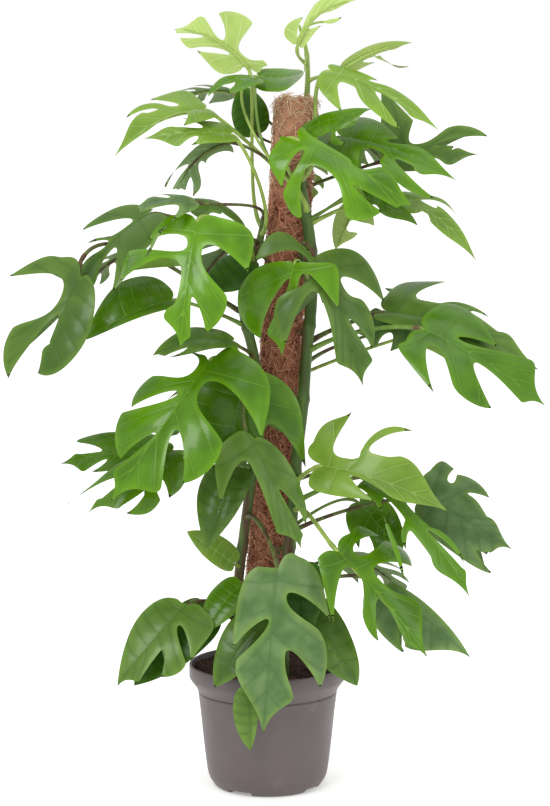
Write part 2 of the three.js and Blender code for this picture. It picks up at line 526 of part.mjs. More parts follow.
const REAR_LEAVES = [
  {
    name: 'rear_1', base: [70, 38, 801], tip: [151, 80, 742], face: [150, 38],
    arch: .08, bend: 0, droop: [32, 32], width: .38,
    stalk: { stem: 'back', fused: true, height: 790, turn: 0, out: 15, into: 10, sag: 5 },
    right: {
      back: [.05, .16], shoulder: [.22, .38],
      cuts: [[.24, .08, .45, .41, .46, .29], [.66, .08, .82, .2, .83, .12]],
    },
    left: {
      back: [.05, .16], shoulder: [.24, .38],
      cuts: [[.28, .08, .48, .4, .49, .28], [.7, .08, .86, .17, .87, .1]],
    },
  },
  {
    name: 'rear_2', base: [29, 52, 767], tip: [54, 92, 696], face: [176, 34],
    arch: .08, bend: 0, droop: [32, 32], width: .38,
    stalk: { stem: 'back', fused: true, height: 755, turn: 0, out: 10, into: 10, sag: 5 },
    right: {
      back: [.05, .16], shoulder: [.25, .38],
      cuts: [[.3, .08, .5, .38, .51, .26], [.55, .08, .73, .26, .74, .17]],
    },
    left: {
      back: [.05, .16], shoulder: [.28, .38],
      cuts: [[.36, .08, .55, .36, .56, .25], [.6, .08, .77, .23, .78, .15]],
    },
  },
  {
    name: 'rear_3', base: [-45, 14, 838], tip: [-114, 44, 824], face: [-140, 44],
    arch: .08, bend: 0, droop: [32, 32], width: .34,
    stalk: { stem: 'back', fused: true, height: 775, turn: 0, out: 25, into: 20, sag: 5 },
    right: {
      back: [.05, .16], shoulder: [.25, .34],
      cuts: [[.3, .08, .5, .38, .51, .26], [.55, .08, .73, .26, .74, .17]],
    },
    left: {
      back: [.05, .16], shoulder: [.28, .34],
      cuts: [[.36, .08, .55, .36, .56, .25], [.6, .08, .77, .23, .78, .15]],
    },
  },
  {
    name: 'rear_4', base: [-33, 40, 662], tip: [-95, 84, 584], face: [-150, 36],
    arch: .08, bend: 0, droop: [32, 32], width: .4,
    stalk: { stem: 'back', fused: true, height: 645, turn: 0, out: 15, into: 15, sag: 5 },
    right: {
      back: [.05, .16], shoulder: [.22, .4],
      cuts: [[.24, .08, .45, .41, .46, .29], [.66, .08, .82, .2, .83, .12]],
    },
    left: {
      back: [.05, .16], shoulder: [.24, .4],
      cuts: [[.28, .08, .48, .4, .49, .28], [.7, .08, .86, .17, .87, .1]],
    },
  },
  {
    name: 'rear_5', base: [-163, -6, 649], tip: [-227, 24, 594], face: [-130, 40],
    arch: .08, bend: 0, droop: [32, 32], width: .34,
    stalk: { stem: 'back', fused: true, height: 575, turn: 0, out: 50, into: 40, sag: 10 },
    right: {
      back: [.05, .16], shoulder: [.25, .34],
      cuts: [[.3, .08, .5, .38, .51, .26], [.55, .08, .73, .26, .74, .17]],
    },
    left: {
      back: [.05, .16], shoulder: [.28, .34],
      cuts: [[.36, .08, .55, .36, .56, .25], [.6, .08, .77, .23, .78, .15]],
    },
  },
  {
    name: 'rear_6', base: [47, 54, 632], tip: [10, 100, 550], face: [172, 34],
    arch: .08, bend: 0, droop: [32, 32], width: .4,
    stalk: { stem: 'back', fused: true, height: 625, turn: 0, out: 5, into: 5, sag: 5 },
    right: {
      back: [.05, .16], shoulder: [.22, .4],
      cuts: [[.24, .08, .45, .41, .46, .29], [.66, .08, .82, .2, .83, .12]],
    },
    left: {
      back: [.05, .16], shoulder: [.24, .4],
      cuts: [[.28, .08, .48, .4, .49, .28], [.7, .08, .86, .17, .87, .1]],
    },
  },
  {
    name: 'rear_7', base: [188, 14, 551], tip: [279, 40, 507], face: [140, 40],
    arch: .08, bend: 0, droop: [32, 32], width: .36,
    stalk: { stem: 'back', fused: true, height: 490, turn: 0, out: 45, into: 35, sag: 10 },
    right: {
      back: [.05, .16], shoulder: [.25, .36],
      cuts: [[.3, .08, .5, .38, .51, .26], [.55, .08, .73, .26, .74, .17]],
    },
    left: {
      back: [.05, .16], shoulder: [.28, .36],
      cuts: [[.36, .08, .55, .36, .56, .25], [.6, .08, .77, .23, .78, .15]],
    },
  },
  {
    name: 'rear_8', base: [-55, 44, 487], tip: [-126, 88, 408], face: [-152, 36],
    arch: .08, bend: 0, droop: [32, 32], width: .38,
    stalk: { stem: 'back', fused: true, height: 455, turn: 0, out: 20, into: 15, sag: 5 },
    right: {
      back: [.05, .16], shoulder: [.22, .38],
      cuts: [[.24, .08, .45, .41, .46, .29], [.66, .08, .82, .2, .83, .12]],
    },
    left: {
      back: [.05, .16], shoulder: [.24, .38],
      cuts: [[.28, .08, .48, .4, .49, .28], [.7, .08, .86, .17, .87, .1]],
    },
  },
  {
    name: 'rear_9', base: [-7, 54, 415], tip: [5, 92, 319], face: [178, 32],
    arch: .08, bend: 0, droop: [32, 32], width: .36,
    stalk: { stem: 'back', fused: true, height: 410, turn: 0, out: 5, into: 10, sag: 5 },
    right: {
      back: [.05, .16], shoulder: [.25, .36],
      cuts: [[.3, .08, .5, .38, .51, .26], [.55, .08, .73, .26, .74, .17]],
    },
    left: {
      back: [.05, .16], shoulder: [.28, .36],
      cuts: [[.36, .08, .55, .36, .56, .25], [.6, .08, .77, .23, .78, .15]],
    },
  },
  {
    name: 'rear_10', base: [103, 36, 390], tip: [193, 78, 347], face: [145, 40],
    arch: .08, bend: 0, droop: [32, 32], width: .36,
    stalk: { stem: 'back', fused: true, height: 360, turn: 0, out: 25, into: 20, sag: 5 },
    right: {
      back: [.05, .16], shoulder: [.25, .36],
      cuts: [[.3, .08, .5, .38, .51, .26], [.55, .08, .73, .26, .74, .17]],
    },
    left: {
      back: [.05, .16], shoulder: [.28, .36],
      cuts: [[.36, .08, .55, .36, .56, .25], [.6, .08, .77, .23, .78, .15]],
    },
  },
  {
    name: 'rear_11', base: [101, 34, 275], tip: [174, 72, 212], face: [150, 38],
    arch: .08, bend: 0, droop: [32, 32], width: .36,
    stalk: { stem: 'back', fused: true, height: 245, turn: 0, out: 25, into: 20, sag: 5 },
    right: {
      back: [.05, .16], shoulder: [.25, .36],
      cuts: [[.3, .08, .5, .38, .51, .26], [.55, .08, .73, .26, .74, .17]],
    },
    left: {
      back: [.05, .16], shoulder: [.28, .36],
      cuts: [[.36, .08, .55, .36, .56, .25], [.6, .08, .77, .23, .78, .15]],
    },
  },
  {
    name: 'rear_12', base: [23, 62, 247], tip: [0, 104, 154], face: [176, 32],
    arch: .08, bend: 0, droop: [32, 32], width: .36,
    stalk: { stem: 'back', fused: true, height: 230, turn: 0, out: 10, into: 10, sag: 0 },
    right: { back: [.05, .16], shoulder: [.3, .36], cuts: [[.42, .09, .61, .32, .62, .21]] },
    left: { back: [.05, .16], shoulder: [.28, .36], cuts: [[.36, .09, .55, .34, .56, .23]] },
  },
  {
    name: 'rear_13', base: [-78, 46, 205], tip: [-147, 80, 145], face: [-150, 38],
    arch: .08, bend: 0, droop: [32, 32], width: .34,
    stalk: { stem: 'back', fused: true, height: 185, turn: 0, out: 20, into: 15, sag: 5 },
    right: {
      back: [.05, .16], shoulder: [.25, .34],
      cuts: [[.3, .08, .5, .38, .51, .26], [.55, .08, .73, .26, .74, .17]],
    },
    left: {
      back: [.05, .16], shoulder: [.28, .34],
      cuts: [[.36, .08, .55, .36, .56, .25], [.6, .08, .77, .23, .78, .15]],
    },
  },
];

// ---------------------------------------------------------------- colours and finishes
const finish = (color, roughness) => new THREE.MeshStandardMaterial({ color, roughness, metalness: 0 });
const FINISHES = {
  pot: finish('#766b6b', 0.45),
  soil: finish('#2a1512', 0.95),
  core: finish('#b9a27c', 0.8),
  coir: finish('#a0604a', 0.95),
  stem: finish('#3f5e38', 0.5),
  blade: finish('#4f8a1c', 0.4),
};

// ---------------------------------------------------------------- lines in space
const vec = (point) => new THREE.Vector3(...point);
const flat = (u, v) => new THREE.Vector2(u, v);
const range = (count) => Array.from({ length: count }, (_, index) => index);
const radians = THREE.MathUtils.degToRad;

// The pole's axis leans: its x at a height.
function poleX(z) {
  const [footX, footZ] = POLE.foot;
  const [headX, headZ] = POLE.head;
  return footX + ((headX - footX) * (z - footZ)) / (headZ - footZ);
}

// A point on a stem's axis at a height, by a cubic through the stem's points.
function stemAxis(stem, z) {
  const points = stem.points;
  const slope = (index, axis) => {
    const low = points[Math.max(index - 1, 0)];
    const high = points[Math.min(index + 1, points.length - 1)];
    return (high[axis] - low[axis]) / (high[2] - low[2]);
  };
  let index = 0;
  while (index < points.length - 2 && z > points[index + 1][2]) index += 1;
  const [low, high] = [points[index], points[index + 1]];
  const span = high[2] - low[2];
  const t = (z - low[2]) / span;
  if (t < 0) return new THREE.Vector3(low[0], low[1], z);
  const hermite = (axis) => (2 * t ** 3 - 3 * t ** 2 + 1) * low[axis]
    + (t ** 3 - 2 * t ** 2 + t) * span * slope(index, axis)
    + (3 * t ** 2 - 2 * t ** 3) * high[axis]
    + (t ** 3 - t ** 2) * span * slope(index + 1, axis);
  return new THREE.Vector3(hermite(0), hermite(1), z);
}

// A stem thickens at its nodes and tapers at its tip.
function stemRadius(stem, z) {
  const top = stem.points.at(-1)[2];
  const fromNode = Math.abs(((z - stem.points[0][2]) % STEM.nodeSpacing) - STEM.nodeSpacing / 2);
  const node = Math.max(0, 1 - fromNode / STEM.nodeLength);
  const { tipTaper, tipLength, tipPower } = { ...STEM, ...stem };
  const tip = THREE.MathUtils.clamp(1 - (top - z) / tipLength, 0, 1);
  return stem.radius * (1 + STEM.nodeSwell * node) * (1 - tipTaper * tip ** tipPower);
}

// ---------------------------------------------------------------- closed solids
// Turns a profile of [radius, height], which starts and ends on the axis, round the Z axis.
function lathe(profile, sides) {
  const geometry = new THREE.LatheGeometry(profile.map(([r, z]) => flat(r, z)), sides);
  geometry.deleteAttribute('normal');
  geometry.deleteAttribute('uv');
  const welded = mergeVertices(geometry.rotateX(Math.PI / 2), 1e-3);
  const corners = [...welded.index.array];
  const faces = range(corners.length / 3).map((face) => corners.slice(3 * face, 3 * face + 3));
  return welded.setIndex(faces.filter((face) => new Set(face).size === 3).flat());
}

class Mesher {
  constructor() {
    this.points = [];
    this.faces = [];
  }

  add(point) {
    this.points.push(point.x, point.y, point.z);
    return this.points.length / 3 - 1;
  }

  // Joins two rings of the same number of corners; the first one's faces lie behind it.
  bridge(near, far) {
    near.forEach((corner, index) => {
      const next = (index + 1) % near.length;
      this.faces.push(near[next], corner, far[index]);
      this.faces.push(near[next], far[index], far[next]);
    });
  }

  // Closes the last ring.
  cap(ring, centre) {
    const middle = this.add(centre);
    ring.forEach((corner, index) => this.faces.push(ring[(index + 1) % ring.length], corner, middle));
  }

  geometry() {
    const geometry = new THREE.BufferGeometry();
    geometry.setAttribute('position', new THREE.Float32BufferAttribute(this.points, 3));
    geometry.setIndex(this.faces);
    return geometry;
  }
}

// A round body along a list of { centre, radius }, each ring level with the axis.
function tube(stations, sides) {
  const mesher = new Mesher();
  const rings = stations.map(({ centre, radius }, index) => {
    const ahead = stations[Math.min(index + 1, stations.length - 1)].centre;
    const behind = stations[Math.max(index - 1, 0)].centre;
    const along = ahead.clone().sub(behind).normalize();
    const across = new THREE.Vector3(1, 0, 0).addScaledVector(along, -along.x).normalize();
    const around = across.clone().cross(along);
    return range(sides).map((side) => {
      const angle = (2 * Math.PI * side) / sides;
      const reach = typeof radius === 'function' ? radius(angle) : radius;
      const corner = centre.clone().addScaledVector(across, reach * Math.cos(angle));
      return mesher.add(corner.addScaledVector(around, reach * Math.sin(angle)));
    });
  });
  rings.slice(1).forEach((ring, index) => mesher.bridge(rings[index], ring));
  mesher.cap(rings.at(-1), stations.at(-1).centre);
  mesher.cap([...rings[0]].reverse(), stations[0].centre);
  return mesher.geometry();
}

function toSolid(geometry) {
  const bare = geometry.clone();
  bare.deleteAttribute('normal');
  bare.deleteAttribute('uv');
  const welded = mergeVertices(bare, 1e-4);
  return new wasm.Manifold(new wasm.Mesh({
    numProp: 3,
    vertProperties: Float32Array.from(welded.attributes.position.array),
    triVerts: Uint32Array.from(welded.index.array),
  }));
}

function toGeometry(solid) {
  const mesh = solid.getMesh();
  const geometry = new THREE.BufferGeometry();
  geometry.setAttribute('position', new THREE.BufferAttribute(mesh.vertProperties, 3));
  geometry.setIndex(new THREE.BufferAttribute(mesh.triVerts, 1));
  return geometry;
}

function cut(body, tools) {
  return toGeometry(tools.reduce((left, tool) => left.subtract(toSolid(tool)), toSolid(body)));
}

function join(parts) {
  return toGeometry(parts.map(toSolid).reduce((whole, part) => whole.add(part)));
}

// ---------------------------------------------------------------- blade: flat outline
const FLAT_STEPS = 1e5; // flat points are rounded to this many steps in a midrib's length
const SAME_POINT = 1 / FLAT_STEPS;
const LEAST_AREA = 2e-5;
// How round a lobe is: shares of a chord, and for neck, nearLift and the slim limits of the midrib's length.
const ROUND = {
  neck: 0.02, cornerU: 0.5, cornerV: 0.45, nearReach: 0.65, nearLift: 0.015, farReach: 0.6, hook: 0.16,
  shoulder: 0.22, rimNear: 0.22, rimFar: 0.2,
  tipReach: 0.35, tipRise: 0.3, tipRiseLimit: 0.1, tipBack: 0.7, tipBackLimit: 0.22,
  slim: 0.1, slimLimit: 0.035,
};

// u runs along the midrib from 0 to 1 and v away from it, both as shares of its length.
// A cut is [its inner end u, v, the tip of the lobe before it u, v, the corner of the lobe after it u, v].
function cutWidth([rootU, rootV, tipU, tipV, cornerU, cornerV]) {
  const gap = Math.hypot(cornerU - tipU, cornerV - tipV);
  const depth = Math.hypot(tipU - rootU, tipV - rootV);
  return Math.min(0.5 * depth, Math.max(0.03, 0.1 * depth + 0.45 * gap));
}

// The four corners of a lobe and the curves between them.
function lobeFrame(side, index) {
  const first = index === 0;
  const last = index === side.cuts.length;
  const before = side.cuts[index - 1];
  const after = side.cuts[index];
  const station = (u, v) => BLADE.station * Math.round((u - BLADE.veinLean * v) / BLADE.station);
  const [backU, backV] = side.back;
  const inner = first ? flat(0, BLADE.baseHalfWidth) : flat(before[0], before[1]);
  const corner = first ? flat(-backU, backV) : flat(before[4], before[5]);
  const outer = last ? flat(1, 0) : flat(after[0], after[1]);
  const tip = last ? flat(1, 0) : flat(after[2], after[3]);
  return {
    first, last, inner, corner, outer, tip,
    start: first ? 0 : station(before[0], before[1]),
    end: last ? 1 : station(after[0], after[1]),
    nearWidth: first ? 0 : cutWidth(before),
    farWidth: last ? 0 : cutWidth(after),
  };
}

const mix = (a, b, share) => a.clone().lerp(b, share);
const shifted = (point, u, v) => flat(point.x + u, point.y + v);
// The normal of a chord, as long as the chord.
const aside = (from, to) => flat(from.y - to.y, to.x - from.x);

function nearEdge(side, { first, inner, corner, nearWidth }) {
  const [backU, backV] = side.back;
  return first
    ? new THREE.CubicBezierCurve(inner, shifted(inner, -backU, ROUND.neck),
      shifted(corner, -ROUND.cornerU * backU, -ROUND.cornerV * backV), corner)
    : new THREE.CubicBezierCurve(inner, shifted(inner, nearWidth, 0),
      shifted(mix(inner, corner, ROUND.nearReach), ROUND.nearLift, 0), corner);
}

function farEdge({ outer, tip, farWidth }) {
  const hooked = mix(outer, tip, ROUND.farReach).addScaledVector(aside(outer, tip), ROUND.hook);
  return new THREE.CubicBezierCurve(outer, shifted(outer, -farWidth, 0), hooked, tip);
}

function margin(side, { first, last, corner, tip }) {
  if (first) {
    // The basal lobe's margin passes through the side's widest point at its middle.
    const [wideU, wideV] = side.shoulder;
    const level = (8 * wideV - corner.y - tip.y) / 6;
    const nearU = corner.x + ROUND.shoulder * (wideU - corner.x);
    const farU = (8 * wideU - corner.x - tip.x) / 3 - nearU;
    return new THREE.CubicBezierCurve(corner, flat(nearU, level), flat(farU, level), tip);
  }
  if (last) {
    const span = corner.distanceTo(tip);
    const rise = Math.min(ROUND.tipRiseLimit, ROUND.tipRise * span);
    const back = Math.min(ROUND.tipBackLimit, ROUND.tipBack * span);
    const slim = Math.min(ROUND.slimLimit, ROUND.slim * span);
    return new THREE.CubicBezierCurve(corner, shifted(mix(corner, tip, ROUND.tipReach), 0, rise),
      shifted(tip, -back, slim), tip);
  }
  const bulge = aside(corner, tip);
  if (bulge.y < 0) bulge.negate();
  return new THREE.CubicBezierCurve(corner, mix(corner, tip, 0.25).addScaledVector(bulge, ROUND.rimNear),
    mix(corner, tip, 0.75).addScaledVector(bulge, ROUND.rimFar), tip);
}

// A lobe as rows of points, from the midrib outward, with its edges' curves blended over it.
function lobeGrid(side, index, columns, rows) {
  const frame = lobeFrame(side, index);
  const near = nearEdge(side, frame).getPoints(rows);
  const far = frame.last ? range(rows + 1).map(() => frame.tip) : farEdge(frame).getPoints(rows);
  const rim = margin(side, frame).getPoints(columns);
  const rib = range(columns + 1).map((column) => {
    const u = frame.start + ((frame.end - frame.start) * column) / columns;
    return flat(BLADE.station * Math.round(u / BLADE.station), 0);
  });
  const nearSide = [rib[0], ...near];
  const farSide = [rib.at(-1), ...far];
  const inside = frame.inner.distanceTo(rib[0]) + frame.outer.distanceTo(rib.at(-1));
  const outside = frame.inner.distanceTo(frame.corner) + frame.outer.distanceTo(frame.tip);
  const waist = inside / (inside + outside);
  return nearSide.map((nearPoint, row) => {
    const p = row === 0 ? 0 : waist + ((1 - waist) * (row - 1)) / rows;
    return rib.map((ribPoint, column) => {
      const s = column / columns;
      return mix(nearPoint, farSide[row], s)
        .add(mix(ribPoint, rim[column], p))
        .sub(mix(mix(rib[0], rib.at(-1), s), mix(rim[0], rim.at(-1), s), p));
    });
  });
}

// ---------------------------------------------------------------- blade: in space
class BladeForm {
  constructor(leaf) {
    this.leaf = leaf;
    const [base, tip] = [vec(leaf.base), vec(leaf.tip)];
    const chord = tip.clone().sub(base);
    const [turn, tilt] = leaf.face.map(radians);
    const facing = new THREE.Vector3(Math.sin(turn) * Math.cos(tilt), -Math.cos(turn) * Math.cos(tilt),
      Math.sin(tilt));
    const along = chord.clone().normalize();
    this.up = facing.addScaledVector(along, -facing.dot(along)).normalize();
    const right = this.up.clone().cross(along);
    const middle = base.clone().lerp(tip, 0.5)
      .addScaledVector(this.up, 2 * leaf.arch * chord.length())
      .addScaledVector(right, 2 * leaf.bend * chord.length());
    this.midrib = new THREE.QuadraticBezierCurve3(base, middle, tip);
    this.length = this.midrib.getLength();
  }

  // The midrib's point and directions at u; past its ends it goes on straight.
  frame(u) {
    const t = THREE.MathUtils.clamp(u, 0, 1);
    const along = this.midrib.getTangent(t);
    const origin = this.midrib.getPoint(t).addScaledVector(along, (u - t) * this.length);
    const up = this.up.clone().addScaledVector(along, -this.up.dot(along)).normalize();
    return { origin, along, up, right: up.clone().cross(along) };
  }

  // Lifts a flat point: each side rises from the midrib at the vee angle and then droops in an arc.
  lift(u, v) {
    const { leaf, length } = this;
    const { origin, up, right } = this.frame(u);
    const reach = Math.abs(v) * length;
    const span = leaf.width * length;
    const bend = radians(v > 0 ? leaf.droop[0] : leaf.droop[1]) / span + 1e-9;
    const vee = radians(BLADE.vee);
    const out = (Math.sin(vee) - Math.sin(vee - bend * reach)) / bend;
    const wave = Math.sin(u * BLADE.waveLength + BLADE.wavePhase + (v > 0 ? 2 : 0));
    const rise = (Math.cos(vee - bend * reach) - Math.cos(vee)) / bend
      + BLADE.waveHeight * length * wave * (reach / span) ** 2;
    return origin.addScaledVector(right, Math.sign(v) * out).addScaledVector(up, rise);
  }
}

// A lobe's triangles, from its grid or, where its edges curl too far for one, from its outline.
function lobeTriangles(grid) {
  const area = ([a, b, c]) => (b.x - a.x) * (c.y - a.y) - (c.x - a.x) * (b.y - a.y);
  const cells = grid.slice(1).flatMap((outer, row) => outer.slice(1).flatMap((corner, column) => {
    const [a, b, c, d] = [grid[row][column], grid[row][column + 1], corner, outer[column]];
    return [[a, b, c], [a, c, d]];
  }));
  const apart = (a, b) => a.distanceTo(b) > SAME_POINT;
  const whole = cells.filter(([a, b, c]) => apart(a, b) && apart(b, c) && apart(c, a));
  if (whole.every((triangle) => area(triangle) > LEAST_AREA)) return whole;
  const outline = [
    ...grid[0],
    ...grid.slice(1).map((row) => row.at(-1)),
    ...grid.at(-1).slice(0, -1).reverse(),
    ...grid.slice(1, -1).map((row) => row[0]).reverse(),
  ].filter((point, index, line) => index === 0 || apart(point, line[index - 1]));
  return THREE.ShapeUtils.triangulateShape(outline, []).map((triangle) => {
    const corners = triangle.map((index) => outline[index]);
    return area(corners) > 0 ? corners : corners.reverse();
  });
}

// The blade's sheet of triangles, with the midrib's points shared by both sides.
function bladeSheet(form) {
  const { leaf } = form;
  const rows = form.length >= BLADE.fineLength ? 2 : 1;
  const points = new Map();
  // Adding 0 turns a negative zero into a plain one.
  const tidy = (value) => Math.round(value * FLAT_STEPS) / FLAT_STEPS + 0;
  const at = (rawU, rawV) => {
    const [u, v] = [tidy(rawU), tidy(rawV)];
    const name = `${u} ${v}`;
    if (!points.has(name)) points.set(name, { index: points.size, u, v });
    return points.get(name);
  };
  const triangles = [[leaf.right, 1], [leaf.left, -1]].flatMap(([side, sign]) => {
    const lobes = range(side.cuts.length + 1);
    return lobes.flatMap((index) => {
      const atAnEnd = index === 0 || index === side.cuts.length;
      const columns = lobes.length === 1 ? 4 : 2 + atAnEnd;
      const triangle = lobeTriangles(lobeGrid(side, index, columns, rows))
        .map((corners) => corners.map(({ x, y }) => at(x, sign * y)));
      return sign > 0 ? triangle : triangle.map((corners) => corners.reverse());
    });
  });
  return { points: [...points.values()], triangles: splitAlongMidrib([...points.values()], triangles) };
}

// Divides the triangles on the midrib wherever the other side has a point on their edge.
function splitAlongMidrib(points, triangles) {
  const stations = points.filter(({ v }) => v === 0).sort((a, b) => a.u - b.u);
  return triangles.flatMap((triangle) => {
    const corner = triangle.findIndex((point) => point.v !== 0);
    const [apex, from, to] = range(3).map((step) => triangle[(corner + step) % 3]);
    if (from.v !== 0 || to.v !== 0) return [triangle];
    const [low, high] = [Math.min(from.u, to.u), Math.max(from.u, to.u)];
    const between = stations.filter(({ u }) => u > low && u < high);
    if (from.u > to.u) between.reverse();
    const line = [from, ...between, to];
    return line.slice(1).map((point, index) => [apex, line[index], point]);
  });
}

// Edges used by one triangle only, keyed by the corner that they start from.
function openEdges(triangles) {
  const edges = new Map();
  triangles.forEach((triangle) => triangle.forEach((from, index) => {
    const to = triangle[(index + 1) % 3];
    const opposite = `${to.index} ${from.index}`;
    if (edges.has(opposite)) edges.delete(opposite);
    else edges.set(`${from.index} ${to.index}`, [from, to]);
  }));
  return [...edges.values()];
}

function halfThickness({ u, v }) {
  const ribbed = Math.abs(v) < BLADE.ribHalfWidth ? (1 - THREE.MathUtils.clamp(u, 0, 1)) : 0;
  return (BLADE.thickness + (BLADE.ribThickness - BLADE.thickness) * ribbed) / 2;
}

// ---------------------------------------------------------------- leaf: blade and stalk in one body
// The stalk runs from the blade's base to the face of its stem.
function stalkCurve(form) {
  const { stalk, base } = form.leaf;
  const stem = STEMS[stalk.stem];
  const { along, up } = form.frame(0);
  const axis = stemAxis(stem, stalk.height);
  const out = vec(base).sub(axis).setZ(0).normalize()
    .applyAxisAngle(new THREE.Vector3(0, 0, 1), radians(stalk.turn));
  const seat = stalk.fused ? STALK.fusedShare * stem.radius : stemRadius(stem, stalk.height) + STALK.seat;
  const foot = axis.clone().addScaledVector(out, seat);
  const leaving = out.clone().setZ(STALK.rise).normalize();
  const arriving = vec(base).addScaledVector(along, -stalk.into).addScaledVector(up, -stalk.sag);
  const low = foot.clone().addScaledVector(leaving, stalk.out);
  return { curve: new THREE.CubicBezierCurve3(vec(base), arriving, low, foot), out };
}

function leafGeometry(leaf) {
  const form = new BladeForm(leaf);
  const { points, triangles } = bladeSheet(form);
  const mesher = new Mesher();
  const places = points.map(({ u, v }) => form.lift(u, v));
  const normals = places.map(() => new THREE.Vector3());
  triangles.forEach((triangle) => {
    const [a, b, c] = triangle.map(({ index }) => places[index]);
    const normal = b.clone().sub(a).cross(c.clone().sub(a));
    triangle.forEach(({ index }) => normals[index].add(normal));
  });
  normals.forEach((normal) => normal.normalize());
  const [top, bottom] = [1, -1].map((face) => points.map((point) => mesher.add(
    places[point.index].clone().addScaledVector(normals[point.index], face * halfThickness(point)),
  )));
  triangles.forEach(([a, b, c]) => {
    mesher.faces.push(top[a.index], top[b.index], top[c.index]);
    mesher.faces.push(bottom[a.index], bottom[c.index], bottom[b.index]);
  });
  const atBase = ({ u, v }) => u === 0 && Math.abs(v) <= BLADE.baseHalfWidth;
  const edges = openEdges(triangles);
  edges.filter(([from, to]) => !(atBase(from) && atBase(to))).forEach(([from, to]) => {
    mesher.faces.push(top[to.index], top[from.index], bottom[from.index]);
    mesher.faces.push(top[to.index], bottom[from.index], bottom[to.index]);
  });
  const chain = edges.filter(([from, to]) => atBase(from) && atBase(to))
    .sort(([a], [b]) => (a.v === 0) - (b.v === 0));
  const [start, centre] = chain[0];
  const end = chain[1][1];
  growStalk(mesher, form, [start, centre, end], top, bottom);
  return mesher.geometry();
}

// Carries the blade's six base corners on as a six-sided stalk.
function growStalk(mesher, form, [start, centre, end], top, bottom) {
  const { curve, out } = stalkCurve(form);
  const radius = Math.min(STALK.maxRadius, STALK.radius + STALK.radiusPerLength * form.length);
  const length = curve.getLength();
  const steps = Math.max(4, Math.round(length / STALK.step) + 1);
  const across = Math.sign(start.v);
  // The corner's angle from the blade's right, seen along the stalk from its far end.
  const angles = [across > 0 ? 30 : 150, 90, across > 0 ? 150 : 30, across > 0 ? 210 : -30, 270,
    across > 0 ? -30 : 210].map(radians);
  const corners = [start, centre, end].map(({ index }) => top[index])
    .concat([end, centre, start].map(({ index }) => bottom[index]));
  let { up, right } = form.frame(0);
  let ring = corners;
  range(steps).forEach((step) => {
    const t = (step + 0.5) / (steps - 0.5);
    const point = curve.getPointAt(t);
    const along = step === steps - 1 ? out.clone().negate() : curve.getTangentAt(t);
    up = up.clone().addScaledVector(along, -up.dot(along)).normalize();
    right = right.clone().addScaledVector(along, -right.dot(along)).addScaledVector(up, -right.dot(up))
      .normalize();
    const swell = radius * (1 + STALK.footSwell * t ** 4);
    const next = angles.map((angle) => mesher.add(point.clone()
      .addScaledVector(right, swell * Math.cos(angle))
      .addScaledVector(up, swell * Math.sin(angle))));
    mesher.bridge(ring, next);
    ring = next;
  });
  mesher.cap(ring, curve.getPointAt(1));
}

// ---------------------------------------------------------------- stems
function stemHeights(stem) {
  const [foot, top] = [stem.points[0][2], stem.points.at(-1)[2]];
  const nodes = range(Math.floor((top - foot) / STEM.nodeSpacing) + 1)
    .map((index) => foot + STEM.nodeSpacing * (index + 0.5));
  const { nodeLength, nodeSpacing } = STEM;
  const heights = nodes.flatMap((node) => (
    [node - nodeLength, node, node + nodeLength, node + nodeSpacing / 2]));
  return [STEM.rootHeight, foot, ...heights.filter((z) => z < top - 4), top];
}

function stemGeometry(stem) {
  const station = (z) => ({ centre: stemAxis(stem, z), radius: stemRadius(stem, z) });
  return tube(stemHeights(stem).map(station), STEM.sides);
}

// ---------------------------------------------------------------- coir pole and its core
// Turns a profile of [radius, height] round the axis, roughens its outside and leans it.
function poleGeometry(profile, roughness = 0) {
  const geometry = lathe(profile, POLE.sides);
  const points = geometry.attributes.position;
  range(points.count).forEach((index) => {
    const [x, y, z] = [points.getX(index), points.getY(index), points.getZ(index)];
    const outside = Math.hypot(x, y) > POLE.radius / 2;
    const turn = Math.atan2(y, x) + (2 * Math.PI * z) / POLE.turnHeight;
    const swell = outside ? 1 + (roughness * Math.sin(POLE.turns * turn)) / POLE.radius : 1;
    points.setXYZ(index, x * swell + poleX(z), y * swell, z);
  });
  return geometry;
}

function coirPole() {
  const [foot, top] = [POLE.foot[1] - POLE.below, POLE.head[1]];
  const bore = POLE.coreRadius + GAP;
  const outside = range(POLE.steps + 1).map((step) => {
    const share = step / POLE.steps;
    return [POLE.radius + POLE.flare * share ** 8, foot + (top - foot) * share];
  });
  const roof = top - POLE.coreCover;
  return poleGeometry([[0, roof], [bore, roof], [bore, foot], ...outside, [0, top + 2]], POLE.turnDepth);
}

function poleCore(clearance = 0) {
  const [foot, top] = [POLE.foot[1] - POLE.coreBelow - clearance, POLE.head[1] - POLE.coreCover - GAP];
  const reach = POLE.coreRadius + clearance;
  return poleGeometry([[0, foot], [reach, foot], [reach, top], [0, top]]);
}

// ---------------------------------------------------------------- pot and soil

// The inside of the pot's wall, less a clearance.
function potInside(clearance) {
  const collar = POT.height - POT.collarHeight;
  return [
    [POT.footRadius - 1, POT.floor + clearance],
    [POT.beltRadius - POT.wall - clearance, POT.beltHeight],
    [POT.collarFoot - POT.wall - clearance, collar - POT.collarTaper],
    [POT.rimRadius - POT.wall - clearance, collar],
  ];
}

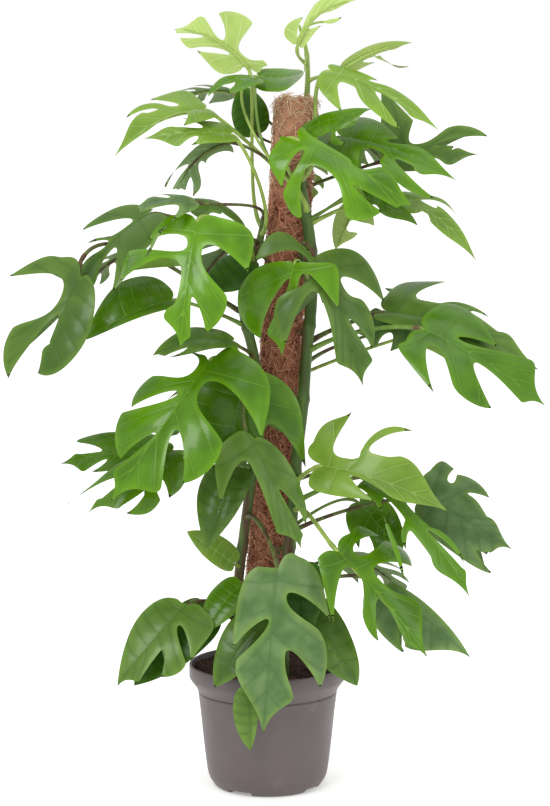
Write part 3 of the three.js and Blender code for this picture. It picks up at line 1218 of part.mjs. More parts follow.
function potGeometry() {
  const { rimRadius, height, wall, footRadius, beltRadius, beltHeight, collarFoot } = POT;
  const collar = height - POT.collarHeight;
  const body = lathe([
    [0, 0], [footRadius, 0], [footRadius + 7, 9], [footRadius + 10, 18], [beltRadius, beltHeight],
    [collarFoot, collar - POT.collarTaper], [rimRadius, collar], [rimRadius, height],
    [rimRadius - wall, height], ...potInside(0).reverse(), [0, POT.floor],
  ], POT.sides);
  const notch = new THREE.BoxGeometry(POT.notchWidth, POT.notchDepth, 2 * POT.notchHeight);
  const notches = range(POT.notches).map((index) => {
    const angle = radians(POT.firstNotchAngle + (360 / POT.notches) * index);
    return notch.clone().rotateZ(angle + Math.PI / 2)
      .translate(POT.notchReach * Math.cos(angle), POT.notchReach * Math.sin(angle), 0);
  });
  return cut(body, notches);
}

function soilGeometry() {
  const inside = potInside(GAP);
  const edge = POT.rimRadius - POT.wall - GAP;
  const surface = range(SOIL.rings + 1).map((ring) => [edge * (1 - ring / SOIL.rings), SOIL.level]);
  const body = lathe([[0, POT.floor + GAP], ...inside, ...surface], POT.sides);
  const points = body.attributes.position;
  range(points.count).filter((index) => points.getZ(index) > SOIL.level - 1).forEach((index) => {
    const lump = Math.sin(points.getX(index) * SOIL.lumpsAcross + 1)
      * Math.cos(points.getY(index) * SOIL.lumpsAlong);
    points.setZ(index, SOIL.level + SOIL.unevenness * lump);
  });
  const poleHole = POLE.radius + POLE.turnDepth + GAP;
  const poleFoot = POLE.foot[1] - POLE.below - GAP;
  const above = POT.height + 20;
  const stemHoles = Object.values(STEMS).map((stem) => {
    const radius = stem.radius * (1 + STEM.nodeSwell) + GAP;
    const heights = [STEM.rootHeight - GAP, stem.points[0][2], above];
    return tube(heights.map((z) => ({ centre: stemAxis(stem, z), radius })), STEM.sides);
  });
  return cut(body, [
    poleGeometry([[0, poleFoot], [poleHole, poleFoot], [poleHole, above], [0, above]]),
    poleCore(GAP),
    ...stemHoles,
  ]);
}

// ---------------------------------------------------------------- the plant in its pot
const group = new THREE.Group();

function place(name, geometry, material) {
  const mesh = new THREE.Mesh(geometry, material);
  mesh.name = name;
  group.add(mesh);
}

place('pot', potGeometry(), FINISHES.pot);
place('soil', soilGeometry(), FINISHES.soil);
place('pole_core', poleCore(), FINISHES.core);
place('coir_pole', coirPole(), FINISHES.coir);
place('stem_left', stemGeometry(STEMS.left), FINISHES.stem);
place('stem_right', stemGeometry(STEMS.right), FINISHES.stem);
place('stem_back', join([stemGeometry(STEMS.back), ...REAR_LEAVES.map(leafGeometry)]), FINISHES.stem);
LEAVES.forEach((leaf) => place(`leaf_${leaf.name}`, leafGeometry(leaf), FINISHES.blade));

export default group;
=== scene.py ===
"""Mini monstera (Rhaphidophora tetrasperma) climbing a coir pole in a nursery pot: its finished look.

Sizes are in millimetres, as a grower would measure them, and MM turns them into metres. +Z is up and -Y is
the plant's front. Each leaf keeps the form of its solid: a midrib in space and, on either side of it, lobes
that are drawn flat and then lifted.
"""

import logging
import math
from dataclasses import dataclass
from enum import Enum

import bpy
import numpy as np
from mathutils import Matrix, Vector, geometry, noise


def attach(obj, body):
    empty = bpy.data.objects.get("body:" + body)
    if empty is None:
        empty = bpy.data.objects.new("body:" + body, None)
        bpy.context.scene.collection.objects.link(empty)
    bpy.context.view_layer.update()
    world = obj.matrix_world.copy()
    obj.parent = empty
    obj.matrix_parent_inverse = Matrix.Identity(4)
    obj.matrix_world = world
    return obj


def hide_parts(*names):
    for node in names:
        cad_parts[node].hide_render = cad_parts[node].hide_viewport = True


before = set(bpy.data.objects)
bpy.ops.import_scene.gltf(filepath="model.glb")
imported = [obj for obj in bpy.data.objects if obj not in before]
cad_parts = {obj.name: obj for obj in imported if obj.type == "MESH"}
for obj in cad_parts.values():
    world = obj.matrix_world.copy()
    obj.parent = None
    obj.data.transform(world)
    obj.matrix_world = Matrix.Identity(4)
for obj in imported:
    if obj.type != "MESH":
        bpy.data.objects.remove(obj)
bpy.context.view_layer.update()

MM = 0.001
LOG = logging.getLogger("mini_monstera")
Pair = tuple[float, float]
Point = tuple[float, float, float]
Faces = list[tuple[int, ...]]
Tree = bpy.types.NodeTree
Node = bpy.types.Node
Socket = bpy.types.NodeSocket
Piece = bpy.types.Object


# ---- nodes and colours
def linear(colour: str) -> tuple[float, float, float, float]:
    """Turns an sRGB hex value into a linear colour.

    Args:
        colour: The value, such as "#4f8a1c".

    Returns:
        Red, green, blue and an alpha of 1.
    """
    shares = [int(colour[start:start + 2], 16) / 255 for start in (1, 3, 5)]
    return (*[s / 12.92 if s <= 0.04045 else ((s + 0.055) / 1.055) ** 2.4 for s in shares], 1.0)


def add_node(tree: Tree, kind: str, values: dict | None = None, links: dict | None = None,
             **settings: object) -> Node:
    """Adds a node to a tree.

    Args:
        tree: The tree.
        kind: The node's type.
        values: Input values by the inputs' names or places.
        links: Output sockets by the names or places of the inputs that they feed.
        **settings: The node's own properties.

    Returns:
        The node.
    """
    node = tree.nodes.new(kind)
    for name, value in settings.items():
        setattr(node, name, value)
    for name, value in (values or {}).items():
        node.inputs[name].default_value = value
    for name, socket in (links or {}).items():
        tree.links.new(socket, node.inputs[name])
    return node


@dataclass(frozen=True)
class Finish:
    """A surface: what it is made of and how light meets it."""

    name: str

    def material(self) -> bpy.types.Material:
        """Returns the material, made on its first use.

        Returns:
            The material of this name.
        """
        found = bpy.data.materials.get(self.name)
        if found:
            return found
        made = bpy.data.materials.new(self.name)
        made.use_nodes = True
        tree = made.node_tree
        tree.nodes.clear()
        shader = add_node(tree, "ShaderNodeBsdfPrincipled")
        add_node(tree, "ShaderNodeOutputMaterial", links={"Surface": shader.outputs[0]})
        self.paint(tree, shader, add_node(tree, "ShaderNodeTexCoord").outputs["Object"])
        return made

    def paint(self, tree: Tree, shader: Node, place: Socket) -> None:
        """Adds the nodes that feed the shader.

        Args:
            tree: The material's tree.
            shader: Its Principled node.
            place: The point's place on the piece, in metres.
        """
        raise NotImplementedError

    @staticmethod
    def layered(tree: Tree, ground: str, layers: tuple[tuple, ...]) -> Socket:
        """Lays colours over a ground, each of them masked by a soft edge in a value.

        Args:
            tree: The material's tree.
            ground: The ground's colour.
            layers: For each colour, the value, where the edge starts and ends in it, the colour's share
                before the edge and after it, and the colour.

        Returns:
            The finished colour.
        """
        colour = add_node(tree, "ShaderNodeRGB").outputs[0]
        colour.default_value = linear(ground)
        for value, start, end, before, after, layer in layers:
            mask = add_node(tree, "ShaderNodeMapRange",
                            {"From Min": start, "From Max": end, "To Min": before, "To Max": after},
                            {"Value": value}, interpolation_type="SMOOTHSTEP").outputs[0]
            colour = add_node(tree, "ShaderNodeMix", {7: linear(layer)}, {0: mask, 6: colour},
                              data_type="RGBA").outputs[2]
        return colour


@dataclass(frozen=True)
class LeafSkin(Finish):
    """Leaf cuticle: a thin waxy film over green tissue, which gives the blade its soft wet gloss.

    Widths and grain sizes are in millimetres.
    """

    light: str
    deep: str
    vein: str
    margin: str
    gloss: float
    wax: float
    blotch: float = 45
    smear: float = 9
    pore: float = 1.6
    pore_share: float = 0.25
    relief: float = 0.2
    vein_share: float = 0.5
    vein_line: Pair = (0.2, 0.95)
    vein_shadow: float = 5
    vein_shadow_share: float = 0.4
    vein_valley: float = 1.3
    margin_width: float = 9
    margin_share: float = 0.35
    hem_width: float = 0.7
    hem_share: float = 0.15

    BLOTCH_EDGE = (0.7, 0.3)
    SMEAR_EDGE = {"From Min": 0.3, "From Max": 0.7}
    SMEAR_ROUGHNESS = (-0.05, 0.08)
    # A cuticle reflects weakly outside its highlights, which keeps the green full.
    REFLECTION = 0.18
    WAX_ROUGHNESS = 0.12

    def paint(self, tree: Tree, shader: Node, place: Socket) -> None:
        """Adds mottled green, lined veins in shallow valleys, a yellower margin and a fine skin texture.

        Args:
            tree: The material's tree.
            shader: Its Principled node.
            place: The point's place on the piece, in metres.
        """
        vein, rim, shade = (add_node(tree, "ShaderNodeAttribute", attribute_name=name).outputs["Fac"]
                            for name in ("vein", "rim", "shade"))
        blotches = add_node(tree, "ShaderNodeTexNoise", {"Scale": 1 / (self.blotch * MM), "Detail": 2.0},
                            {"Vector": place}).outputs[0]
        # A vein is under 1 mm wide and is drawn a little wider than life so that it shows.
        colour = self.layered(tree, self.light, (
            (blotches, *self.BLOTCH_EDGE, 1, 0, self.deep),
            (rim, 0, self.margin_width, self.margin_share, 0, self.margin),
            (vein, 0, self.vein_shadow, self.vein_shadow_share, 0, self.deep),
            (vein, *self.vein_line, self.vein_share, 0, self.vein),
            (rim, 0, self.hem_width, self.hem_share, 0, self.margin),
        ))
        shaded = add_node(tree, "ShaderNodeHueSaturation", None, {"Value": shade, "Color": colour})
        tree.links.new(shaded.outputs[0], shader.inputs["Base Color"])
        smears = add_node(tree, "ShaderNodeTexNoise", {"Scale": 1 / (self.smear * MM), "Detail": 3.0},
                          {"Vector": place})
        low, high = (self.gloss + change for change in self.SMEAR_ROUGHNESS)
        rough = add_node(tree, "ShaderNodeMapRange", {**self.SMEAR_EDGE, "To Min": low, "To Max": high},
                         {"Value": smears.outputs[0]})
        tree.links.new(rough.outputs[0], shader.inputs["Roughness"])
        shader.inputs["Specular IOR Level"].default_value = self.REFLECTION
        shader.inputs["Coat Weight"].default_value = self.wax
        shader.inputs["Coat Roughness"].default_value = self.WAX_ROUGHNESS
        pores = add_node(tree, "ShaderNodeTexNoise", {"Scale": 1 / (self.pore * MM), "Detail": 2.0},
                         {"Vector": place})
        valley = add_node(tree, "ShaderNodeMapRange", {"From Max": self.vein_valley}, {"Value": vein},
                          interpolation_type="SMOOTHSTEP")
        height = add_node(tree, "ShaderNodeMath", {1: self.pore_share},
                          {0: pores.outputs[0], 2: valley.outputs[0]}, operation="MULTIPLY_ADD")
        bumps = add_node(tree, "ShaderNodeBump", {"Distance": self.relief * MM},
                         {"Height": height.outputs[0]})
        tree.links.new(bumps.outputs[0], shader.inputs["Normal"])


@dataclass(frozen=True)
class MottledFinish(Finish):
    """A finish of three colours in the piece's own space: a ground, patches in it and rarer flecks.

    Grain sizes are in millimetres, and the stretch says how much longer a grain is along the height.
    """

    ground: str
    patch: str
    fleck: str
    patch_size: float
    fleck_size: float
    fleck_share: float
    relief_size: float
    relief: float
    rough: Pair
    stretch: float = 1
    gleam: float = 0.5

    PATCH_EDGE = (0.35, 0.65)
    RAREST_FLECK = 0.78
    FLECK_BLUR = 0.12
    ROUGH_EDGE = {"From Min": 0.3, "From Max": 0.7}

    def paint(self, tree: Tree, shader: Node, place: Socket) -> None:
        """Adds the ground, its patches and flecks, its roughness and its relief.

        Args:
            tree: The material's tree.
            shader: Its Principled node.
            place: The point's place on the piece, in metres.
        """
        drawn = add_node(tree, "ShaderNodeMapping", {"Scale": (1, 1, 1 / self.stretch)}, {"Vector": place})
        patches, flecks, relief = (
            add_node(tree, "ShaderNodeTexNoise", {"Scale": 1 / (size * MM), "Detail": 3.0},
                     {"Vector": drawn.outputs[0]}).outputs[0]
            for size in (self.patch_size, self.fleck_size, self.relief_size))
        edge = self.RAREST_FLECK - self.fleck_share / 3
        colour = self.layered(tree, self.ground, (
            (patches, *self.PATCH_EDGE, 0, 1, self.patch),
            (flecks, edge - self.FLECK_BLUR, edge, 0, 1, self.fleck),
        ))
        tree.links.new(self.tinted(tree, colour, place), shader.inputs["Base Color"])
        low, high = self.rough
        rough = add_node(tree, "ShaderNodeMapRange", {**self.ROUGH_EDGE, "To Min": low, "To Max": high},
                         {"Value": patches})
        tree.links.new(rough.outputs[0], shader.inputs["Roughness"])
        shader.inputs["Specular IOR Level"].default_value = self.gleam
        bumps = add_node(tree, "ShaderNodeBump", {"Distance": self.relief * MM}, {"Height": relief})
        tree.links.new(bumps.outputs[0], shader.inputs["Normal"])

    def tinted(self, tree: Tree, colour: Socket, place: Socket) -> Socket:
        """Changes the colour in a finish that has strands, crumbs or a paler end.

        Args:
            tree: The material's tree.
            colour: The mottled colour.
            place: The point's place on the piece, in metres.

        Returns:
            The changed colour, or the same one.
        """
        return colour


@dataclass(frozen=True)
class GreenBark(MottledFinish):
    """Living stem skin: smooth, satin, with faint lengthwise lines, brown freckles and a pale growing tip."""

    patch_size: float = 9
    fleck_size: float = 14
    fleck_share: float = 0.3
    relief_size: float = 1.5
    relief: float = 0.15
    rough: Pair = (0.34, 0.5)
    stretch: float = 8
    gleam: float = 0.3
    tip: str = "#93ab55"
    tender_from: float = 800
    tender_above: float = 880

    def tinted(self, tree: Tree, colour: Socket, place: Socket) -> Socket:
        """Makes the colour paler towards the growing tip.

        Args:
            tree: The material's tree.
            colour: The mottled colour.
            place: The point's place on the piece, in metres.

        Returns:
            The changed colour.
        """
        height = add_node(tree, "ShaderNodeSeparateXYZ", None, {0: place}).outputs[2]
        edge = {"From Min": self.tender_from * MM, "From Max": self.tender_above * MM}
        tender = add_node(tree, "ShaderNodeMapRange", edge, {"Value": height})
        return add_node(tree, "ShaderNodeMix", {7: linear(self.tip)}, {0: tender.outputs[0], 6: colour},
                        data_type="RGBA").outputs[2]


@dataclass(frozen=True)
class Polypropylene(MottledFinish):
    """Injection-moulded polypropylene: a satin skin with a faint haze, and dust and scuffs in patches."""

    name: str = "moulded_polypropylene"
    ground: str = "#554a4b"
    patch: str = "#5a4f50"
    fleck: str = "#5f5455"
    patch_size: float = 60
    fleck_size: float = 26
    fleck_share: float = 0.1
    relief_size: float = 0.9
    relief: float = 0.05
    rough: Pair = (0.38, 0.5)


@dataclass(frozen=True)
class TurnedWood(MottledFinish):
    """Plain turned softwood: pale, matt, with grain along the rod."""

    name: str = "turned_softwood"
    ground: str = "#9a7b50"
    patch: str = "#c8ab7c"
    fleck: str = "#84683f"
    patch_size: float = 2
    fleck_size: float = 6
    fleck_share: float = 0.3
    relief_size: float = 1
    relief: float = 0.1
    rough: Pair = (0.65, 0.8)
    stretch: float = 16


@dataclass(frozen=True)
class Coir(MottledFinish):
    """Coconut fibre: dry, springy, reddish brown strands over darker gaps, without any gloss."""

    name: str = "coir_fibre"
    ground: str = "#8a523a"
    patch: str = "#a46c54"
    fleck: str = "#582e1c"
    patch_size: float = 12
    fleck_size: float = 6
    fleck_share: float = 0.5
    relief_size: float = 1.1
    relief: float = 0.5
    rough: Pair = (0.8, 0.95)
    gleam: float = 0.2
    strand: str = "#dfa684"
    pale_head: str = "#f8ddba"
    pale_head_from: float = 700
    pale_head_above: float = 800

    MAT_PALING = 0.45
    STRAND_EDGE = {"From Min": 0.05, "From Max": 0.7}

    def tinted(self, tree: Tree, colour: Socket, place: Socket) -> Socket:
        """Makes the colour differ from strand to strand and paler near the pole's head.

        Args:
            tree: The material's tree.
            colour: The mottled colour.
            place: The point's place on the piece, in metres.

        Returns:
            The changed colour.
        """
        tint = add_node(tree, "ShaderNodeAttribute", attribute_name="tint").outputs["Fac"]
        height = add_node(tree, "ShaderNodeSeparateXYZ", None, {0: place}).outputs[2]
        # Strands and mat turn paler towards the pole's head, by height alone.
        edge = {"From Min": self.pale_head_from * MM, "From Max": self.pale_head_above * MM}
        head = add_node(tree, "ShaderNodeMapRange", edge, {"Value": height})
        strand = add_node(tree, "ShaderNodeMix", {6: linear(self.strand), 7: linear(self.pale_head)},
                          {0: head.outputs[0]}, data_type="RGBA")
        paled = add_node(tree, "ShaderNodeMath", {1: self.MAT_PALING}, {0: head.outputs[0]},
                         operation="MULTIPLY")
        mat = add_node(tree, "ShaderNodeMix", {7: linear(self.strand)}, {0: paled.outputs[0], 6: colour},
                       data_type="RGBA")
        light = add_node(tree, "ShaderNodeMapRange", self.STRAND_EDGE, {"Value": tint})
        return add_node(tree, "ShaderNodeMix", None,
                        {0: light.outputs[0], 6: mat.outputs[2], 7: strand.outputs[2]},
                        data_type="RGBA").outputs[2]


@dataclass(frozen=True)
class PottingMix(MottledFinish):
    """Moist peat with composted bark: nearly black, with reddish crumbs and a faint damp glint."""

    name: str = "potting_mix"
    ground: str = "#1c0f0b"
    patch: str = "#44231a"
    fleck: str = "#2a1710"
    patch_size: float = 5
    fleck_size: float = 9
    fleck_share: float = 0.4
    relief_size: float = 2
    relief: float = 1.2
    rough: Pair = (0.6, 0.95)
    gleam: float = 0.4
    dry: str = "#7a4f38"

    CRUMB_EDGE = {"From Min": 0.5, "To Max": 0.85}

    def tinted(self, tree: Tree, colour: Socket, place: Socket) -> Socket:
        """Makes some crumbs redder and drier.

        Args:
            tree: The material's tree.
            colour: The mottled colour.
            place: The point's place on the piece, in metres.

        Returns:
            The changed colour.
        """
        tint = add_node(tree, "ShaderNodeAttribute", attribute_name="tint").outputs["Fac"]
        share = add_node(tree, "ShaderNodeMapRange", self.CRUMB_EDGE, {"Value": tint})
        return add_node(tree, "ShaderNodeMix", {7: linear(self.dry)}, {0: share.outputs[0], 6: colour},
                        data_type="RGBA").outputs[2]


@dataclass(frozen=True)
class StudioCard(Finish):
    """Matt white card for the floor, which glows a little so that it stays white."""

    name: str = "white_studio_card"
    shade: str = "#fbfbfa"
    roughness: float = 0.9
    gleam: float = 0.1
    glow: float = 0.3

    def paint(self, tree: Tree, shader: Node, place: Socket) -> None:
        """Sets an even matt white.

        Args:
            tree: The material's tree.
            shader: Its Principled node.
            place: The point's place on the piece, in metres.
        """
        shader.inputs["Base Color"].default_value = linear(self.shade)
        shader.inputs["Roughness"].default_value = self.roughness
        shader.inputs["Specular IOR Level"].default_value = self.gleam
        shader.inputs["Emission Color"].default_value = linear(self.shade)
        shader.inputs["Emission Strength"].default_value = self.glow


# A stalk and a stem are green when young and turn olive and then brown with age.
PALE_STALK = GreenBark("pale_stalk_skin", "#94ac50", "#7c9440", "#76783a", fleck_share=0.1)
GREEN_STALK = GreenBark("green_stalk_skin", "#5c7c2c", "#6c8a38", "#5a4a2c")
OLIVE_STALK = GreenBark("olive_stalk_skin", "#46561e", "#5e6a30", "#4a3420", fleck_share=0.6)
STEM_SKIN = GreenBark("stem_skin", "#3a5220", "#526c30", "#54402a", patch_size=11, fleck_size=20,
                      fleck_share=0.5, stretch=6)


class Age(Enum):
    """How old a leaf is, or whether it gets painted shade, which sets its skins: the upper, the lower and the
    stalk's.

    A leaf's skin has a light and a deep green, its veins' and its margin's colour, a roughness and its wax.
    """

    PALE = (
        LeafSkin("pale_leaf_upper", "#a8c854", "#98b848", "#c0d680", "#b6cf6c", 0.4, 0.05),
        LeafSkin("pale_leaf_under", "#a4bc66", "#94ac58", "#bccf90", "#b0c47a", 0.55, 0.0), PALE_STALK)
    TENDER = (
        LeafSkin("tender_leaf_upper", "#729430", "#5c7e20", "#90ac5a", "#84a23e", 0.3, 0.2),
        LeafSkin("tender_leaf_under", "#86a250", "#70903e", "#9fb870", "#92ac5a", 0.5, 0.0), PALE_STALK)
    FRESH = (
        LeafSkin("fresh_leaf_upper", "#507e00", "#3c6400", "#648e18", "#669410", 0.24, 0.25),
        LeafSkin("fresh_leaf_under", "#6c8c34", "#587a24", "#86a254", "#7a9840", 0.5, 0.0), PALE_STALK)
    YOUNG = (
        LeafSkin("young_leaf_upper", "#4c760c", "#386002", "#608828", "#648e1a", 0.26, 0.22),
        LeafSkin("young_leaf_under", "#6a8a40", "#54762c", "#84a05e", "#769446", 0.5, 0.0), GREEN_STALK)
    MATURE = (
        LeafSkin("mature_leaf_upper", "#527028", "#3c5c1a", "#3a561c", "#6b8c34", 0.32, 0.15,
                 vein_share=0.3),
        LeafSkin("mature_leaf_under", "#6a8450", "#567040", "#84a06a", "#728c4a", 0.5, 0.0), OLIVE_STALK)
    OLD = (
        LeafSkin("old_leaf_upper", "#5b7646", "#426032", "#385226", "#7b9a34", 0.36, 0.1, blotch=26,
                 vein_share=0.3, margin_share=0.3),
        LeafSkin("old_leaf_under", "#70885a", "#5c7448", "#8aa474", "#78924e", 0.5, 0.0), OLIVE_STALK)
    # No age: darker skins with painted shade, for leaves that sit in shade inside the plant.
    DEEP = (
        LeafSkin("shaded_leaf_upper", "#3a6410", "#264a04", "#2a4a10", "#527c1a", 0.34, 0.1),
        LeafSkin("shaded_leaf_under", "#4e6a2a", "#3c561c", "#647e44", "#567434", 0.5, 0.0), OLIVE_STALK)


# ---- trees that grow what repeats
def new_tree(name: str, inputs: dict[str, str]) -> tuple[Tree, Node, Node]:
    """Starts a tree of geometry nodes.

    Args:
        name: The tree's name.
        inputs: The socket types of its inputs, by name, besides the geometry.

    Returns:
        The tree, its input node and its output node.
    """
    tree = bpy.data.node_groups.new(name, "GeometryNodeTree")
    tree.interface.new_socket("Geometry", in_out="INPUT", socket_type="NodeSocketGeometry")
    for label, kind in inputs.items():
        tree.interface.new_socket(label, in_out="INPUT", socket_type=kind)
    tree.interface.new_socket("Geometry", in_out="OUTPUT", socket_type="NodeSocketGeometry")
    return tree, add_node(tree, "NodeGroupInput"), add_node(tree, "NodeGroupOutput")


def grown(piece: Piece, tree: Tree, values: dict[str, object]) -> Piece:
    """Runs a tree on a piece and keeps the result as its plain mesh.

    Args:
        piece: The piece.
        tree: The tree.
        values: The tree's input values, by name.

    Returns:
        The piece.
    """
    modifier = piece.modifiers.new(tree.name, "NODES")
    modifier.node_group = tree
    sockets = {item.name: item.identifier for item in tree.interface.items_tree if item.in_out == "INPUT"}
    for name, value in values.items():
        modifier[sockets[name]] = value
    made = bpy.data.meshes.new_from_object(piece.evaluated_get(bpy.context.evaluated_depsgraph_get()))
    piece.modifiers.remove(modifier)
    bare, piece.data = piece.data, made
    bpy.data.meshes.remove(bare)
    made.name = piece.name
    return piece


def close_tree(tree: Tree, end: Node, parts: tuple[Socket, ...], dress: dict[str, Socket]) -> None:
    """Ends a tree: joins its parts, makes copies real and sets the material.

    Args:
        tree: The tree.
        end: Its output node.
        parts: The geometries to join.
        dress: The material and, where only some faces get it, their selection.
    """
    joined = add_node(tree, "GeometryNodeJoinGeometry")
    for part in parts:
        tree.links.new(part, joined.inputs[0])
    real = add_node(tree, "GeometryNodeRealizeInstances", None, {0: joined.outputs[0]})
    dressed = add_node(tree, "GeometryNodeSetMaterial", None, {"Geometry": real.outputs[0], **dress})
    tree.links.new(dressed.outputs[0], end.inputs[0])


def path_tubes() -> Tree:
    """Builds the tree that turns a mesh's loose edges into round tubes as thick as their girth attribute.

    Returns:
        The tree, with the tube's number of sides and its material as inputs.
    """
    tree, source, end = new_tree("path_tubes", {"Sides": "NodeSocketInt", "Skin": "NodeSocketMaterial"})
    faces = add_node(tree, "GeometryNodeInputMeshEdgeNeighbors").outputs[0]
    loose = add_node(tree, "FunctionNodeCompare", {3: 0}, {2: faces}, data_type="INT", operation="EQUAL")
    parts = add_node(tree, "GeometryNodeSeparateGeometry", None,
                     {"Geometry": source.outputs["Geometry"], "Selection": loose.outputs[0]}, domain="EDGE")
    girth = add_node(tree, "GeometryNodeInputNamedAttribute", {"Name": "girth"}, data_type="FLOAT").outputs[0]
    line = add_node(tree, "GeometryNodeMeshToCurve", None, {"Mesh": parts.outputs["Selection"]})
    ring = add_node(tree, "GeometryNodeCurvePrimitiveCircle", {"Radius": 1.0},
                    {"Resolution": source.outputs["Sides"]})
    tube = add_node(tree, "GeometryNodeCurveToMesh", {"Fill Caps": True},
                    {"Curve": line.outputs[0], "Profile Curve": ring.outputs[0], "Scale": girth})
    smooth = add_node(tree, "GeometryNodeSetShadeSmooth", None, {"Geometry": tube.outputs[0]})
    marked = add_node(tree, "GeometryNodeStoreNamedAttribute", {"Name": "is_tube", "Value": True},
                      {"Geometry": smooth.outputs[0]}, data_type="BOOLEAN", domain="FACE")
    chosen = add_node(tree, "GeometryNodeInputNamedAttribute", {"Name": "is_tube"}, data_type="BOOLEAN")
    close_tree(tree, end, (marked.outputs[0], parts.outputs["Inverted"]),
               {"Selection": chosen.outputs[0], "Material": source.outputs["Skin"]})
    return tree


def scatter() -> Tree:
    """Builds the tree that covers a surface with turned, scaled and tinted copies of a strand or a crumb.

    A strand is a three-sided hair bent in an arc. A crumb, a flattened lump, takes its place where a crumb's
    size is given.

    Returns:
        The tree, with the density, the copies' sizes, the seed and the material as inputs.
    """
    lengths = ("Density", "Strand Length", "Strand Girth", "Bend", "Lift", "Lean", "Crumb Size", "Smallest")
    tree, source, end = new_tree("scatter", {
        **dict.fromkeys(lengths, "NodeSocketFloat"), "Seed": "NodeSocketInt", "Skin": "NodeSocketMaterial"})
    given = source.outputs
    points = add_node(tree, "GeometryNodeDistributePointsOnFaces", None,
                      {"Mesh": given["Geometry"], "Density": given["Density"], "Seed": given["Seed"]})

    left, right, sunk = (
        add_node(tree, "ShaderNodeMath", {1: share}, {0: given[name]}, operation="MULTIPLY").outputs[0]
        for name, share in (("Strand Length", -0.5), ("Strand Length", 0.5), ("Lift", 0.4)))
    first, middle, last = (
        add_node(tree, "ShaderNodeCombineXYZ", None, place).outputs[0]
        for place in ({0: left}, {1: given["Bend"], 2: given["Lift"]}, {0: right, 2: sunk}))
    arc = add_node(tree, "GeometryNodeCurveQuadraticBezier", {"Resolution": 4},
                   {"Start": first, "Middle": middle, "End": last})
    ring = add_node(tree, "GeometryNodeCurvePrimitiveCircle", {"Resolution": 3},
                    {"Radius": given["Strand Girth"]})
    strand = add_node(tree, "GeometryNodeCurveToMesh", {"Fill Caps": True},
                      {"Curve": arc.outputs[0], "Profile Curve": ring.outputs[0]})
    lump = add_node(tree, "GeometryNodeMeshIcoSphere", {"Subdivisions": 1}, {"Radius": given["Crumb Size"]})
    crumby = add_node(tree, "FunctionNodeCompare", {1: 0.0}, {0: given["Crumb Size"]}, data_type="FLOAT",
                      operation="GREATER_THAN").outputs[0]
    copy = add_node(tree, "GeometryNodeSwitch", None,
                    {"Switch": crumby, "False": strand.outputs[0], "True": lump.outputs[0]},
                    input_type="GEOMETRY")

    # Each random number has a seed of its own, some steps past the tree's.
    spin, swing, flatness, width, tint = (
        add_node(tree, "FunctionNodeRandomValue", {2: low, 3: high},
                 {8: add_node(tree, "ShaderNodeMath", {1: step}, {0: given["Seed"]},
                              operation="ADD").outputs[0]}, data_type="FLOAT").outputs[1]
        for step, low, high in ((1, -math.pi, math.pi), (2, -1, 1), (3, 0.35, 1), (4, 0.5, 1), (5, 0, 1)))
    lean = add_node(tree, "ShaderNodeMath", None, {0: given["Lean"], 1: swing},
                    operation="MULTIPLY").outputs[0]
    turn = points.outputs["Rotation"]
    for axis, angle in (((0, 0, 1), spin), ((0, 1, 0), lean)):
        twist = add_node(tree, "FunctionNodeAxisAngleToRotation", {"Axis": axis}, {"Angle": angle})
        turn = add_node(tree, "FunctionNodeRotateRotation", None,
                        {"Rotation": turn, "Rotate By": twist.outputs[0]}, rotation_space="LOCAL").outputs[0]
    size = add_node(tree, "FunctionNodeRandomValue", {3: 1.0}, {2: given["Smallest"], 8: given["Seed"]},
                    data_type="FLOAT").outputs[1]
    # A strand keeps its proportions, and a crumb is narrower and flatter than it is long.
    narrowed, flattened = (
        add_node(tree, "GeometryNodeSwitch", None, {
            "Switch": crumby, "False": size,
            "True": add_node(tree, "ShaderNodeMath", None, {0: size, 1: share},
                             operation="MULTIPLY").outputs[0],
        }, input_type="FLOAT").outputs[0]
        for share in (width, flatness))
    scale = add_node(tree, "ShaderNodeCombineXYZ", None, {0: size, 1: narrowed, 2: flattened})
    copies = add_node(tree, "GeometryNodeInstanceOnPoints", None, {
        "Points": points.outputs["Points"], "Instance": copy.outputs[0], "Rotation": turn,
        "Scale": scale.outputs[0],
    })
    tinted = add_node(tree, "GeometryNodeStoreNamedAttribute", {"Name": "tint"},
                      {"Geometry": copies.outputs[0], "Value": tint}, data_type="FLOAT", domain="INSTANCE")
    close_tree(tree, end, (tinted.outputs[0], given["Geometry"]), {"Material": given["Skin"]})
    return tree


def new_piece(name: str, points: np.ndarray, faces: Faces, edges: Faces | None = None,
              values: dict[str, np.ndarray] | None = None) -> Piece:
    """Makes a smooth piece from points in millimetres.

    Args:
        name: The piece's name.
        points: Its points.
        faces: Its faces, as places in the points.
        edges: Its loose edges.
        values: Its attributes, one number for each point, by name.

    Returns:
        The piece, at the origin.
    """
    mesh = bpy.data.meshes.new(name)
    mesh.from_pydata((points * MM).tolist(), edges or [], faces)
    for label, numbers in (values or {}).items():
        mesh.attributes.new(label, "FLOAT", "POINT").data.foreach_set("value", numbers.astype(np.float32))
    mesh.polygons.foreach_set("use_smooth", [True] * len(mesh.polygons))
    mesh.update()
    piece = bpy.data.objects.new(name, mesh)
    bpy.context.scene.collection.objects.link(piece)
    return piece


def settle(piece: Piece, slot: str, *nodes: str) -> None:
    """Lets a piece ride on the plant's body in place of the plain solids.

    Args:
        piece: The piece.
        slot: The record's material slot. It is not used.
        *nodes: The solids that it stands for.
    """
    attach(piece, "root")
    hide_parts(*nodes)
    LOG.info("%s: %d faces", piece.name, len(piece.data.polygons))


# ---- curves
def bezier(controls: list[np.ndarray], steps: int) -> np.ndarray:
    """Returns points along a Bezier curve of any degree.

    Args:
        controls: Its control points.
        steps: The number of stretches.

    Returns:
        The points, one more than the steps.
    """
    shares = np.linspace(0, 1, steps + 1)[:, None]
    level = [np.repeat(np.asarray(point, float)[None], steps + 1, 0) for point in controls]
    while len(level) > 1:
        level = [a + (b - a) * shares for a, b in zip(level, level[1:])]
    return level[0]


